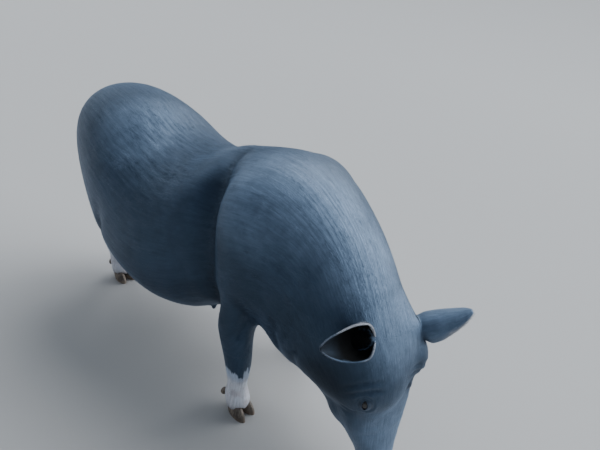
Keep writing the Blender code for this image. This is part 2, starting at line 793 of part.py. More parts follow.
def main():
    remove_everything()
    collection("sow")
    collection("cutters")
    frame = head_frame()

    body = one_skin()
    press(body, SHOULDER_FOLD, SHOULDER_FOLD_SIZE)
    press(body, FLANK_FOLD, FLANK_FOLD_SIZE)
    press(body, JOWL_FOLD, JOWL_FOLD_SIZE, frame)
    thin_out(body)
    add_teats(body)
    eyes = make_eyes(body)
    cut_nostrils(body)

    pieces = list(eyes)
    for side_name, side in (("right", -1), ("left", 1)):
        for kind, place in (("fore", FORE_CLAWS), ("hind", HIND_CLAWS)):
            (x0, y0), (x1, y1), top = LEG_CUTS[kind + "leg"]
            low = Vector((x0, min(side * y0, side * y1), -0.1))
            high = Vector((x1, max(side * y0, side * y1), top))
            limb = split_block(body, f"{kind}leg_{side_name}", low, high)
            foot = split(limb, f"{kind}foot_{side_name}", (0, 0, SOCK_HEIGHT), (0, 0, -1))
            pieces += [limb, foot] + make_hoof(foot, kind, side_name, place, side)

    belly = split(body, "belly", (RUMP_CUT, 0, 0), (1, 0, 0))
    body.name = "hindquarters"
    shoulders = split(belly, "shoulders", (SHOULDER_CUT, 0, 0), (1, 0, 0))
    neck = split(shoulders, "neck", *NECK_CUT)
    head = split(neck, "head", frame @ Vector(HEAD_CUT[0]), frame.to_3x3() @ Vector(HEAD_CUT[1]))
    jaw = part_jaw(head)
    snout = split(head, "snout", frame @ Vector((SNOUT_CUT, 0, 0)), frame.to_3x3() @ Vector((1, 0, 0)))
    pieces += [body, belly, shoulders, neck, head, jaw, snout]

    for name in EARS:
        cup = ear(name)
        clear_of(cup, head)
        clear_of(cup, neck)
        pieces.append(cup)
    brush = tail()
    clear_of(brush, body)
    pieces.append(brush)
    hand_over(pieces)


main()
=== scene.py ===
"""A native black sow at life size, head lowered to feed: one skin, its short coat, eyes and claws."""

import math

import bmesh
import bpy
import numpy as np
from mathutils import Euler, Matrix, Vector
from mathutils.bvhtree import BVHTree
from mathutils.kdtree import KDTree

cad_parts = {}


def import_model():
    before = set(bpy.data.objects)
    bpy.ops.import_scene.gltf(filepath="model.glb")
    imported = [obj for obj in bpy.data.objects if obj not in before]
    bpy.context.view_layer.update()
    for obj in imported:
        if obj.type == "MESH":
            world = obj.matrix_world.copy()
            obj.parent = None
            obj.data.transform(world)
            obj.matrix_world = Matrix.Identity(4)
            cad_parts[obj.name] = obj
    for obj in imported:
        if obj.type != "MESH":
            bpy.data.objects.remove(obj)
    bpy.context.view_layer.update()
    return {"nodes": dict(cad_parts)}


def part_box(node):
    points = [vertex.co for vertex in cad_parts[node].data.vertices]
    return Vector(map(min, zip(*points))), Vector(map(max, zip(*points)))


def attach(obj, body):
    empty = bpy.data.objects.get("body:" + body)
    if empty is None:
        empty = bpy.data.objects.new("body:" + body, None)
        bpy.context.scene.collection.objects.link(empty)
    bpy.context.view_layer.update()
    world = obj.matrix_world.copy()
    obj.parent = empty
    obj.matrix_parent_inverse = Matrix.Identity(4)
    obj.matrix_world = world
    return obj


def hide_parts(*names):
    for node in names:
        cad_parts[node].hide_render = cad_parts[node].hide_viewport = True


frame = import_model()

# Where the body's own measures have their zero, and the side that each name stands for
ORIGIN = Vector((0.0535, 0.0, 0.0))
SIDES = {"right": -1, "left": 1}

# Camera: place, aim in degrees, and lens
CAMERA_PLACE = (0.6695, -0.703, 0.886)
CAMERA_YAW = 124.3
CAMERA_PITCH = 28.4
CAMERA_ROLL = 10.3
CAMERA_LENS = 28.2

# The head's frame: x down the face, y to her left, z out of the forehead
POLL = (0.534, -0.064, 0.362)
HEAD_TURN = (4.0, 72.0, -20.0)
# Middle line of the body from the rump to the snout, which the coat follows
SPINE = ((-0.500, 0.000, 0.380), (-0.450, 0.000, 0.430), (-0.374, 0.000, 0.430), (-0.220, 0.000, 0.380),
         (-0.030, 0.000, 0.340), (0.145, -0.003, 0.370), (0.265, -0.014, 0.400), (0.360, -0.030, 0.390),
         (0.440, -0.052, 0.340), (0.500, -0.066, 0.262), (0.522, -0.076, 0.180), (0.548, -0.090, 0.090),
         (0.570, -0.100, 0.030))

# Skin: voxel, rounds of smoothing by region, and how deep it lies under the coat
SKIN_VOXEL = 0.0060
TRUNK_ROUNDS = 46
FINE_ROUNDS = 7
HEAD_ROUNDS = 5
SEAM_ROUNDS = 6
COAT_DEPTH = 0.0012
# Places where the skin gets smaller faces: round each eye, and round the nose's middle
LID_ZONE = 0.030
NOSE_ZONE = 0.048
NOSE_MIDDLE = (0.262, 0.0, -0.060)
# How far from where two skins meet they are rounded
SEAM_REACH = 0.009
SEAM_WIDTH = 0.012

# Folds of the skin: path on the right, depth, width, and how much the skin swells beside it
# The first two, along the shoulder's crease, also get painted shade in the coat's colour
TRUNK_FOLDS = (
    (((0.090, -0.020, 0.556), (0.104, -0.080, 0.540), (0.120, -0.130, 0.500), (0.134, -0.165, 0.430),
      (0.146, -0.172, 0.350)), 0.0040, 0.010, 0.0),
    (((0.100, -0.060, 0.546), (0.128, -0.140, 0.480), (0.146, -0.172, 0.360), (0.166, -0.155, 0.270),
      (0.190, -0.120, 0.225)), 0.0100, 0.034, 0.0),
    (((0.270, -0.150, 0.290), (0.262, -0.160, 0.240), (0.250, -0.155, 0.200)), 0.0050, 0.012, 0.3),
    (((0.330, -0.150, 0.330), (0.322, -0.160, 0.270), (0.330, -0.140, 0.215)), 0.0040, 0.013, 0.3),
    (((0.385, -0.150, 0.300), (0.375, -0.150, 0.240), (0.380, -0.125, 0.190)), 0.0040, 0.011, 0.3),
    (((-0.175, -0.200, 0.330), (-0.190, -0.180, 0.250), (-0.205, -0.150, 0.190)), 0.0050, 0.014, 0.3),
)
# and these in the head's frame
FACE_FOLDS = (
    (((0.092, -0.026, 0.004), (0.085, -0.050, -0.006), (0.090, -0.070, -0.022), (0.104, -0.084, -0.042)),
     0.0013, 0.0048, 0.5),
    (((0.076, -0.030, 0.006), (0.069, -0.054, -0.006), (0.075, -0.076, -0.024), (0.092, -0.090, -0.046)),
     0.0010, 0.0052, 0.5),
    (((0.126, -0.046, -0.032), (0.137, -0.062, -0.046), (0.128, -0.080, -0.062)), 0.0012, 0.0045, 0.5),
    (((0.140, -0.050, -0.038), (0.149, -0.064, -0.052), (0.142, -0.078, -0.068)), 0.0007, 0.0048, 0.5),
    (((0.190, -0.012, -0.020), (0.189, -0.034, -0.032), (0.184, -0.050, -0.052)), 0.0006, 0.0050, 0.5),
    (((0.210, -0.010, -0.024), (0.208, -0.030, -0.036), (0.203, -0.046, -0.056)), 0.0005, 0.0045, 0.5),
)

# Eyes: size, the ways out of the eye and along its slit, and the slit between the lids
EYES = ("eye_right", "eye_left")
EYE_RADIUS = 0.0110
EYE_OUT = (0.10, 0.72, 0.69)
EYE_ALONG = (1.0, 0.10, -0.12)
SLIT = (0.0098, 0.0050)
SLIT_TAPER = 0.35
LID_RADIUS = 0.0136
EYE_ROOM = 0.0004

# Middle of the painted shade on each cheek, in the head's frame
CHEEK = (0.075, -0.080, -0.075)

# Ears, tail and teats, as in the solids. An ear has its root, the way along it and the way it opens
EARS = {
    "ear_right": ((-0.001, -0.049, -0.038), (-0.17, -0.92, 0.35), (-0.15, 0.38, 0.91)),
    "ear_left": ((0.001, 0.046, -0.044), (-0.22, 0.82, 0.54), (0.87, 0.26, -0.42)),
}
EAR_LENGTH = 0.1235
EAR_THICKNESS = 0.0026
EAR_SINK = 0.030
EAR_NECK = 0.24
EAR_RIDGE = 0.0006
EAR_WAVE = 0.0012
# How close to the sheet a place counts as on the ear, and how far off the sheet the cup's middle is
EAR_NEAR = 0.0036
CUP_MIDDLE = 0.03
# Share of the ear's length, its width there, and half the angle of its curl
EAR_ROWS = (
    (0.00, 0.128, 170),
    (0.10, 0.118, 168),
    (0.20, 0.113, 162),
    (0.32, 0.111, 112),
    (0.46, 0.098, 95),
    (0.62, 0.073, 75),
    (0.78, 0.052, 60),
    (0.91, 0.030, 44),
    (1.00, 0.008, 36),
)
# Along, up and radius of the tail
TAIL = ((-0.436, 0.492, 0.0160), (-0.462, 0.488, 0.0142), (-0.484, 0.462, 0.0112), (-0.493, 0.420, 0.0088),
        (-0.490, 0.375, 0.0070), (-0.484, 0.335, 0.0054), (-0.482, 0.305, 0.0038))
TEAT_PAIRS = (-0.235, -0.160, -0.100, -0.040, 0.020, 0.080)
TEAT_ROW = 0.062
TEAT_SIZE = (0.0062, 0.0062, 0.0108)
TEAT_SUNK = 0.002

# Mouth line and nostrils in the head's frame
MOUTH_LINE = ((0.300, -0.098), (0.250, -0.098), (0.215, -0.105), (0.180, -0.113), (0.158, -0.114),
              (0.142, -0.109))
MOUTH_GAP = 0.0007
NOSTRIL = (0.272, -0.0135, -0.058)
NOSTRIL_TILT = 20
NOSTRIL_SIZE = (0.016, 0.0055, 0.0075)

# Claws: half sizes, and where they stand
CLAW = (0.0270, 0.0118, 0.0300)
CLAW_APART = 0.0130
CLAW_SPLAY = 5.0
CLAW_LEAN = 0.40
CLAW_RISE = 0.007
CLAW_PLACES = {"fore": (0.268, -0.138), "hind": (-0.310, -0.055)}
# Middle of each leg: how far along, and how far from the midline
LEG_MIDDLES = {"fore": (0.192, 0.135), "hind": (-0.376, 0.064)}
DEWCLAW = (0.0075, 0.0065, 0.0125)
DEWCLAW_PLACE = (-0.0420, 0.0145, 0.0420)
DEWCLAW_TILT = 24
# Eyes, claws and dewclaws are this share of their solids' size, so that they stay inside them
GLOBE_SHARE = 0.985
CLAW_SHARE = 0.985
DEWCLAW_SHARE = 0.97

# Coat: hairs to a square centimetre, and half their width at the root
TUFT_SEED = 11
TRUNK_DENSITY = 20.0
HEAD_DENSITY = 26.0
LEG_DENSITY = 22.0
TUFT_WIDTH = 0.00055
HEAD_WIDTH = 0.00038
LEG_WIDTH = 0.00040
EAR_WIDTH = 0.00028
BRISTLE_WIDTH = 0.00026
TAIL_WIDTH = 0.00045
TAIL_HAIRS = 900
# Length and width of a lock, which shades and turns its hairs together
LOCK_SIZE = (0.045, 0.0048)
# How far a hair is shaded as a round rod, and not as the skin under it
HAIR_ROUND = 0.15
# How far the shading of each lock turns sideways and along
HAIR_SATIN = (0.75, 0.45)
# Thickness against width, and how far a long hair bows
HAIR_FLAT = 0.14
HAIR_ARCH = 0.30
# How far a hair's root is sunk in, and how high its tip lies over the skin at most
ROOT_SUNK = 0.0002
TIP_PROUD = 0.00045
# Size of a hair's own patch on the unwrap
PATCH = (0.0008, 0.0030)
# Top of the white socks
SOCK_HEIGHT = 0.126


def turned(degrees):
    return Euler([math.radians(angle) for angle in degrees], "XYZ").to_matrix().to_4x4()


def placed(point, side=-1):
    """A place given on the right, on side -1 for right or +1 for left, counted from the model's origin."""
    return Vector((point[0], -side * point[1], point[2])) - ORIGIN


def head_frame():
    return Matrix.Translation(Vector(POLL) - ORIGIN) @ turned(HEAD_TURN)


def on_head(point, side=-1):
    """A place given in the head's frame on the right, on either side."""
    return head_frame() @ Vector((point[0], -side * point[1], point[2]))


def smooth_rows(rows, steps):
    """Rows of numbers resampled along a smooth curve through them."""
    rows = np.array(rows, float)
    padded = np.vstack([2 * rows[0] - rows[1], rows, 2 * rows[-1] - rows[-2]])
    found = []
    for i in range(len(rows) - 1):
        a, b, c, d = padded[i : i + 4]
        for t in np.linspace(0, 1, steps, endpoint=False):
            bend = (2 * a - 5 * b + 4 * c - d) * t**2 + (3 * b - a - 3 * c + d) * t**3
            found.append(0.5 * (2 * b + (c - a) * t + bend))
    found.append(rows[-1])
    return np.array(found)


def ramp(values, start, end):
    """0 at the start, 1 at the end and smooth between."""
    t = np.clip((values - start) / (end - start), 0, 1)
    return t * t * (3 - 2 * t)


def ends(reach, share):
    """0 at both ends of a path, and 1 beyond this share of it."""
    return ramp(reach, 0.0, share) * ramp(1 - reach, 0.0, share)


def bell(values, width):
    """1 at zero, falling away on both sides over the width."""
    return np.exp(-((values / width) ** 2))


def unit(rows):
    return rows / np.maximum(np.linalg.norm(rows, axis=1), 1e-9)[:, None]


def flat_on(rows, normals):
    """What is left of each row without its part along the normal."""
    return rows - normals * np.sum(rows * normals, axis=1)[:, None]


def gap_to(points, spot):
    return np.linalg.norm(points - np.array(spot), axis=1)


def measured(points, place):
    """Places measured in another frame."""
    back = np.array(place.inverted())
    return points @ back[:3, :3].T + back[:3, 3]


def middle_of(name):
    low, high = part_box(name)
    return (low + high) / 2


def put_in_scene(name, data):
    obj = bpy.data.objects.new(name, data)
    bpy.context.scene.collection.objects.link(obj)
    return obj


def new_object(name, bm):
    mesh = bpy.data.meshes.new(name)
    bm.to_mesh(mesh)
    bm.free()
    return put_in_scene(name, mesh)


def final_mesh(obj):
    return bpy.data.meshes.new_from_object(obj.evaluated_get(bpy.context.evaluated_depsgraph_get()))


def tree_of(obj):
    return BVHTree.FromObject(obj, bpy.context.evaluated_depsgraph_get())


def apply_modifiers(obj):
    obj.data = final_mesh(obj)
    obj.modifiers.clear()


def combine(obj, operation, others):
    """Joins the object with the others or cuts it by them."""
    group = bpy.data.collections.new("operands")
    for other in others:
        group.objects.link(other)
    modifier = obj.modifiers.new("combine", "BOOLEAN")
    modifier.operand_type = "COLLECTION"
    modifier.collection = group
    modifier.operation = operation
    modifier.solver = "MANIFOLD"
    apply_modifiers(obj)
    for other in others:
        bpy.data.objects.remove(other)
    bpy.data.collections.remove(group)


def ball(name, place, radii, segments=32):
    bm = bmesh.new()
    matrix = place @ Matrix.Diagonal((*radii, 1))
    bmesh.ops.create_uvsphere(bm, u_segments=segments, v_segments=segments // 2, radius=1.0, matrix=matrix)
    return new_object(name, bm)


def rows_of(items, key):
    found = np.empty(len(items) * 3)
    items.foreach_get(key, found)
    return found.reshape(-1, 3)


def places(mesh):
    return rows_of(mesh.vertices, "co")


def facings(mesh):
    return rows_of(mesh.vertex_normals, "vector")


def put_back(mesh, points):
    mesh.vertices.foreach_set("co", points.ravel())
    mesh.update()


def distance_to(points, path):
    """How far each place is from a path, and at what share of the path it is nearest."""
    best = np.full(len(points), np.inf)
    reach = np.zeros(len(points))
    for i, (a, b) in enumerate(zip(path, path[1:])):
        along = b - a
        share = np.clip((points - a) @ along / (along @ along), 0, 1)
        gap = np.linalg.norm(points - a - share[:, None] * along, axis=1)
        reach = np.where(gap < best, (i + share) / (len(path) - 1), reach)
        best = np.minimum(best, gap)
    return best, reach


def headness(points):
    """1 on the head and 0 behind the ears."""
    local = measured(points, head_frame())
    return ramp(local[:, 0], -0.03, 0.03) * ramp(points[:, 0], 0.28, 0.34)


def legness(points):
    """1 on the lower legs and 0 on the trunk."""
    low = ramp(-points[:, 2], -0.21, -0.13)
    wide = np.abs(points[:, 1])
    apart = np.where(points[:, 0] < -0.32, ramp(wide, 0.008, 0.024), ramp(wide, 0.045, 0.075))
    return low * apart * (points[:, 0] < 0.27)


def soften(obj, rounds, weights):
    """Smooths the mesh, more where the weights are larger."""
    group = obj.vertex_groups.new(name="soft")
    levels = np.round(weights * 10).astype(int)
    for level in range(1, 11):
        group.add(np.flatnonzero(levels == level).tolist(), level / 10, "REPLACE")
    smooth = obj.modifiers.new("soften", "SMOOTH")
    smooth.factor = 0.5
    smooth.iterations = rounds
    smooth.vertex_group = "soft"
    apply_modifiers(obj)
    obj.vertex_groups.clear()


def refine(obj, wanted):
    """Splits the faces whose corners are all wanted into smaller ones."""
    chosen = wanted(places(obj.data))
    bm = bmesh.new()
    bm.from_mesh(obj.data)
    bm.verts.ensure_lookup_table()
    edges = [edge for edge in bm.edges if chosen[edge.verts[0].index] and chosen[edge.verts[1].index]]
    bmesh.ops.subdivide_edges(bm, edges=edges, cuts=1, use_grid_fill=True)
    bm.to_mesh(obj.data)
    bm.free()


def press(obj, folds, placing):
    """Presses folds into the skin, on both sides, each fading out at its ends."""
    points = places(obj.data)
    moved = np.zeros(len(points))
    tree = tree_of(obj)
    for path, depth, width, swell in folds:
        for side in SIDES.values():
            route = smooth_rows([placing(point, side) for point in path], 4)
            route = np.array([tree.find_nearest(Vector(point))[0] for point in route])
            gap, reach = distance_to(points, route)
            beside = bell(gap - 1.7 * width, width)
            moved += depth * ends(reach, 0.28) * (bell(gap, width) - swell * beside)
    put_back(obj.data, points - facings(obj.data) * moved[:, None])


# Skin

def flesh():
    """The solids of flesh under one smooth surface."""
    names = ["hindquarters", "belly", "shoulders", "neck", "head", "snout", "lower_jaw", *EYES]
    for side in SIDES:
        names += [f"{kind}_{side}" for kind in ("foreleg", "forefoot", "hindleg", "hindfoot")]
    bm = bmesh.new()
    for name in names:
        bm.from_mesh(frame["nodes"][name].data)
    bmesh.ops.remove_doubles(bm, verts=bm.verts, dist=0.00001)
    body = new_object("skin", bm)
    remesh = body.modifiers.new("one_skin", "REMESH")
    remesh.mode = "VOXEL"
    remesh.voxel_size = SKIN_VOXEL
    apply_modifiers(body)
    points = places(body.data)
    fine = np.maximum(headness(points), legness(points))
    soften(body, TRUNK_ROUNDS, 1 - fine)
    points = places(body.data)
    soften(body, FINE_ROUNDS, np.maximum(headness(points), legness(points)))
    return body


def eye_place(name):
    """The middle of an eyeball, with z out of the eye and x along the slit between the lids."""
    side = SIDES[name[4:]]
    turn = head_frame().to_3x3()
    out, slit = (turn @ Vector((x, side * y, z)) for x, y, z in (EYE_OUT, EYE_ALONG))
    out.normalize()
    slit = (slit - out * slit.dot(out)).normalized()
    up = out.cross(slit)
    return Matrix.Translation(middle_of(name)) @ Matrix((slit, up, out)).transposed().to_4x4()


def drawn_out(name, bm, step, place):
    """A flat face drawn out into a solid cutter, and set in its place."""
    pulled = bmesh.ops.extrude_face_region(bm, geom=bm.faces[:])["geom"]
    moved = [item for item in pulled if isinstance(item, bmesh.types.BMVert)]
    bmesh.ops.translate(bm, vec=step, verts=moved)
    bmesh.ops.recalc_face_normals(bm, faces=bm.faces)
    bmesh.ops.transform(bm, matrix=place, verts=bm.verts)
    return new_object(name, bm)


def almond(name, place):
    """A cutter in the outline of the opening between the lids."""
    length, height = SLIT
    bm = bmesh.new()
    bmesh.ops.create_circle(bm, segments=48, radius=1.0, cap_ends=True)
    for vertex in bm.verts:
        x, y, _ = vertex.co
        vertex.co = (x * length, y * height * (1 - SLIT_TAPER * x * x), 0.002)
    return drawn_out(name, bm, (0, 0, 0.03), place)


def raise_lids(body, frames):
    """Swells the skin over each eyeball into an upper and a lower lid."""
    points = places(body.data)
    for place in frames:
        local = measured(points, place)
        across = np.hypot(local[:, 0] / 1.18, local[:, 1])
        near = (across < 0.028) & (local[:, 2] > -0.012)
        dome = np.sqrt(np.maximum(LID_RADIUS**2 - across**2, 0))
        crease = -0.0010 * bell(across - 0.0155, 0.0028)
        brow = 0.0012 * bell(across - 0.0205, 0.0040) * ramp(local[:, 1], 0.0, 0.008)
        rise = np.where(across < LID_RADIUS, np.maximum(dome - local[:, 2], -0.002), 0)
        rise = rise * ramp(-across, -LID_RADIUS, -LID_RADIUS * 0.8) + crease + brow
        out = np.array(place.to_3x3().col[2])
        points += out * (rise * near)[:, None]
    put_back(body.data, points)


def open_eyes(body, frames):
    """Cuts the slit between the lids and the room for the eyeball."""
    combine(body, "DIFFERENCE", [almond("slit", place) for place in frames])
    room = EYE_RADIUS + EYE_ROOM
    combine(body, "DIFFERENCE", [ball("room", place, (room, room, room), 40) for place in frames])


def open_nose_and_mouth(body):
    cuts = []
    x, y, z = NOSTRIL
    for side in SIDES.values():
        middle = head_frame() @ Matrix.Translation((x, -side * y, z)) @ turned((-side * NOSTRIL_TILT, 0, 0))
        cuts.append(ball("nostril", middle, NOSTRIL_SIZE, 32))
    upper = [(x, z + MOUTH_GAP) for x, z in MOUTH_LINE]
    lower = [(x, z - MOUTH_GAP) for x, z in reversed(MOUTH_LINE)]
    corner = (MOUTH_LINE[-1][0] - 0.002, MOUTH_LINE[-1][1])
    bm = bmesh.new()
    bm.faces.new([bm.verts.new((x, -0.12, z)) for x, z in [*upper[:-1], corner, *lower[1:]]])
    cuts.append(drawn_out("mouth", bm, (0, 0.24, 0), head_frame()))
    combine(body, "DIFFERENCE", cuts)


EAR_CURVE = smooth_rows(EAR_ROWS, 6)


def ear_point(name, share, around, lift=0.0):
    """A place on the ear's sheet: share of its length, -1 to 1 round its curl, and height off the sheet."""
    root, along, opens = (Vector(row) for row in EARS[name])
    along.normalize()
    opens = (opens - along * opens.dot(along)).normalized()
    across = along.cross(opens)
    width = np.interp(share, EAR_CURVE[:, 0], EAR_CURVE[:, 1])
    half_angle = math.radians(np.interp(share, EAR_CURVE[:, 0], EAR_CURVE[:, 2]))
    radius = width / (2 * half_angle)
    angle = around * half_angle
    spot = root + along * share * EAR_LENGTH - opens * EAR_SINK * max(0, 1 - share / EAR_NECK) ** 2
    spot += opens * (radius - (radius - lift) * math.cos(angle)) + across * (radius - lift) * math.sin(angle)
    return head_frame() @ spot


def ear_sheet(name):
    """A cupped ear with a rounded rim and shallow ridges inside."""
    rows = 44
    columns = 30
    bm = bmesh.new()
    bmesh.ops.create_grid(bm, x_segments=columns, y_segments=rows, size=0.5)
    for vertex in bm.verts:
        share = (vertex.co.y + 0.5) ** 1.1
        around = 2 * vertex.co.x
        ridges = EAR_RIDGE * math.cos(around * 7) * (1 - share) * (1 - abs(around))
        wave = EAR_WAVE * math.sin(share * 9 + around) * abs(around) ** 3
        vertex.co = ear_point(name, share, around, ridges + wave)
    bmesh.ops.recalc_face_normals(bm, faces=bm.faces)
    sheet = new_object(name + "_sheet", bm)
    thicken = sheet.modifiers.new("thickness", "SOLIDIFY")
    thicken.thickness = EAR_THICKNESS
    thicken.offset = 0
    thicken.use_even_offset = True
    apply_modifiers(sheet)
    return sheet


def tail_core():
    curve = bpy.data.curves.new("tail", "CURVE")
    curve.dimensions = "3D"
    curve.bevel_depth = 1.0
    curve.bevel_resolution = 6
    curve.use_fill_caps = True
    rows = smooth_rows(TAIL, 8)
    spline = curve.splines.new("POLY")
    spline.points.add(len(rows) - 1)
    for i, (point, (x, z, radius)) in enumerate(zip(spline.points, rows)):
        spot = placed((x, 0, z))
        point.co = (*spot, 1)
        point.radius = radius * (1 + 0.03 * math.sin(i * 1.9))
    rope = put_in_scene("tail_core", curve)
    bm = bmesh.new()
    bm.from_mesh(final_mesh(rope))
    bpy.data.objects.remove(rope)
    bmesh.ops.remove_doubles(bm, verts=bm.verts, dist=0.0001)
    bmesh.ops.recalc_face_normals(bm, faces=bm.faces)
    return new_object("tail_core", bm)


def teats(tree):
    found = []
    for x in TEAT_PAIRS:
        for side in SIDES.values():
            start = placed((x, -TEAT_ROW, 0), side)
            spot, normal, _, _ = tree.ray_cast(start, Vector((0, 0, 1)))
            turn = normal.to_track_quat("Z", "Y").to_matrix().to_4x4()
            middle = Matrix.Translation(spot - normal * TEAT_SUNK) @ turn
            found.append(ball("teat", middle, TEAT_SIZE, 20))
    return found


def make_skin():
    body = flesh()
    press(body, TRUNK_FOLDS, placed)
    refine(body, lambda points: headness(points) > 0.35)
    soften(body, HEAD_ROUNDS, headness(places(body.data)))
    frames = [eye_place(name) for name in EYES]
    nose = on_head(NOSE_MIDDLE)

    def delicate(points):
        near = [gap_to(points, place.translation) < LID_ZONE for place in frames]
        return near[0] | near[1] | (gap_to(points, nose) < NOSE_ZONE)

    refine(body, delicate)
    press(body, FACE_FOLDS, on_head)
    raise_lids(body, frames)
    put_back(body.data, places(body.data) - facings(body.data) * COAT_DEPTH)
    open_eyes(body, frames)
    open_nose_and_mouth(body)
    tree = tree_of(body)
    parts = [ear_sheet(name) for name in EARS] + [tail_core()] + teats(tree)
    sheets = [tree_of(part) for part in parts]
    combine(body, "UNION", parts)
    blend_roots(body, tree, sheets)
    return body


def blend_roots(body, skin_tree, part_trees):
    """Rounds the corner where ears, tail and teats grow out of the skin."""
    points = places(body.data)
    weights = np.zeros(len(points))
    for i, point in enumerate(points):
        spot = Vector(point)
        gap = skin_tree.find_nearest(spot, SEAM_REACH)[3]
        if gap is None:
            continue
        for tree in part_trees:
            other = tree.find_nearest(spot, SEAM_REACH)[3]
            if other is not None:
                weights[i] = max(weights[i], 1 - (gap + other) / SEAM_WIDTH)
    soften(body, SEAM_ROUNDS, np.clip(weights, 0, 1))


skin = make_skin()


# Where each place of the skin lies along the body, and its markings

class Course:
    """The body's middle line, with the way across and up at every step."""

    def __init__(self):
        self.points = smooth_rows([placed(point) for point in SPINE], 26)
        self.ahead = unit(np.gradient(self.points, axis=0))
        steps = np.linalg.norm(np.diff(self.points, axis=0), axis=1)
        self.reach = np.concatenate([[0], np.cumsum(steps)])
        turn = ramp(self.reach / self.reach[-1], 0.60, 0.78)[:, None]
        across = (1 - turn) * np.array((0, 1, 0)) + turn * np.array(head_frame().to_3x3().col[1])
        self.across = unit(flat_on(across, self.ahead))
        self.up = np.cross(self.ahead, self.across)

    def nearest(self, points):
        found = np.empty(len(points), int)
        for start in range(0, len(points), 20000):
            part = points[start : start + 20000]
            gaps = ((part[:, None, :] - self.points[None]) ** 2).sum(axis=2)
            found[start : start + 20000] = gaps.argmin(axis=1)
        return found

    def measure(self, points):
        """Length along the body, across and up from its middle line."""
        near = self.nearest(points)
        off = points - self.points[near]
        along, across, up = (np.sum(off * way[near], axis=1) for way in (self.ahead, self.across, self.up))
        return np.stack([self.reach[near] + along, across, up], axis=1)


course = Course()


def ear_samples(name):
    """Places all over an ear's sheet, with how far along and how far round each is."""
    spots = []
    shares = []
    for share in np.linspace(0.0, 1.0, 40):
        for around in np.linspace(-1.0, 1.0, 25):
            spots.append(ear_point(name, share, around))
            shares.append((share, around))
    return np.array(spots), np.array(shares)


def nearest_rows(points, spots):
    tree = KDTree(len(spots))
    for i, spot in enumerate(spots):
        tree.insert(spot, i)
    tree.balance()
    found = [tree.find(point) for point in points]
    return np.array([row[1] for row in found]), np.array([row[2] for row in found])


def round_leg(points):
    """The angle of each place round the leg that it is on."""
    fore = points[:, 0] > 0
    middle = np.where(fore, LEG_MIDDLES["fore"][0], LEG_MIDDLES["hind"][0])
    apart = np.where(fore, LEG_MIDDLES["fore"][1], LEG_MIDDLES["hind"][1])
    return np.arctan2(np.abs(points[:, 1]) - apart, points[:, 0] - middle)


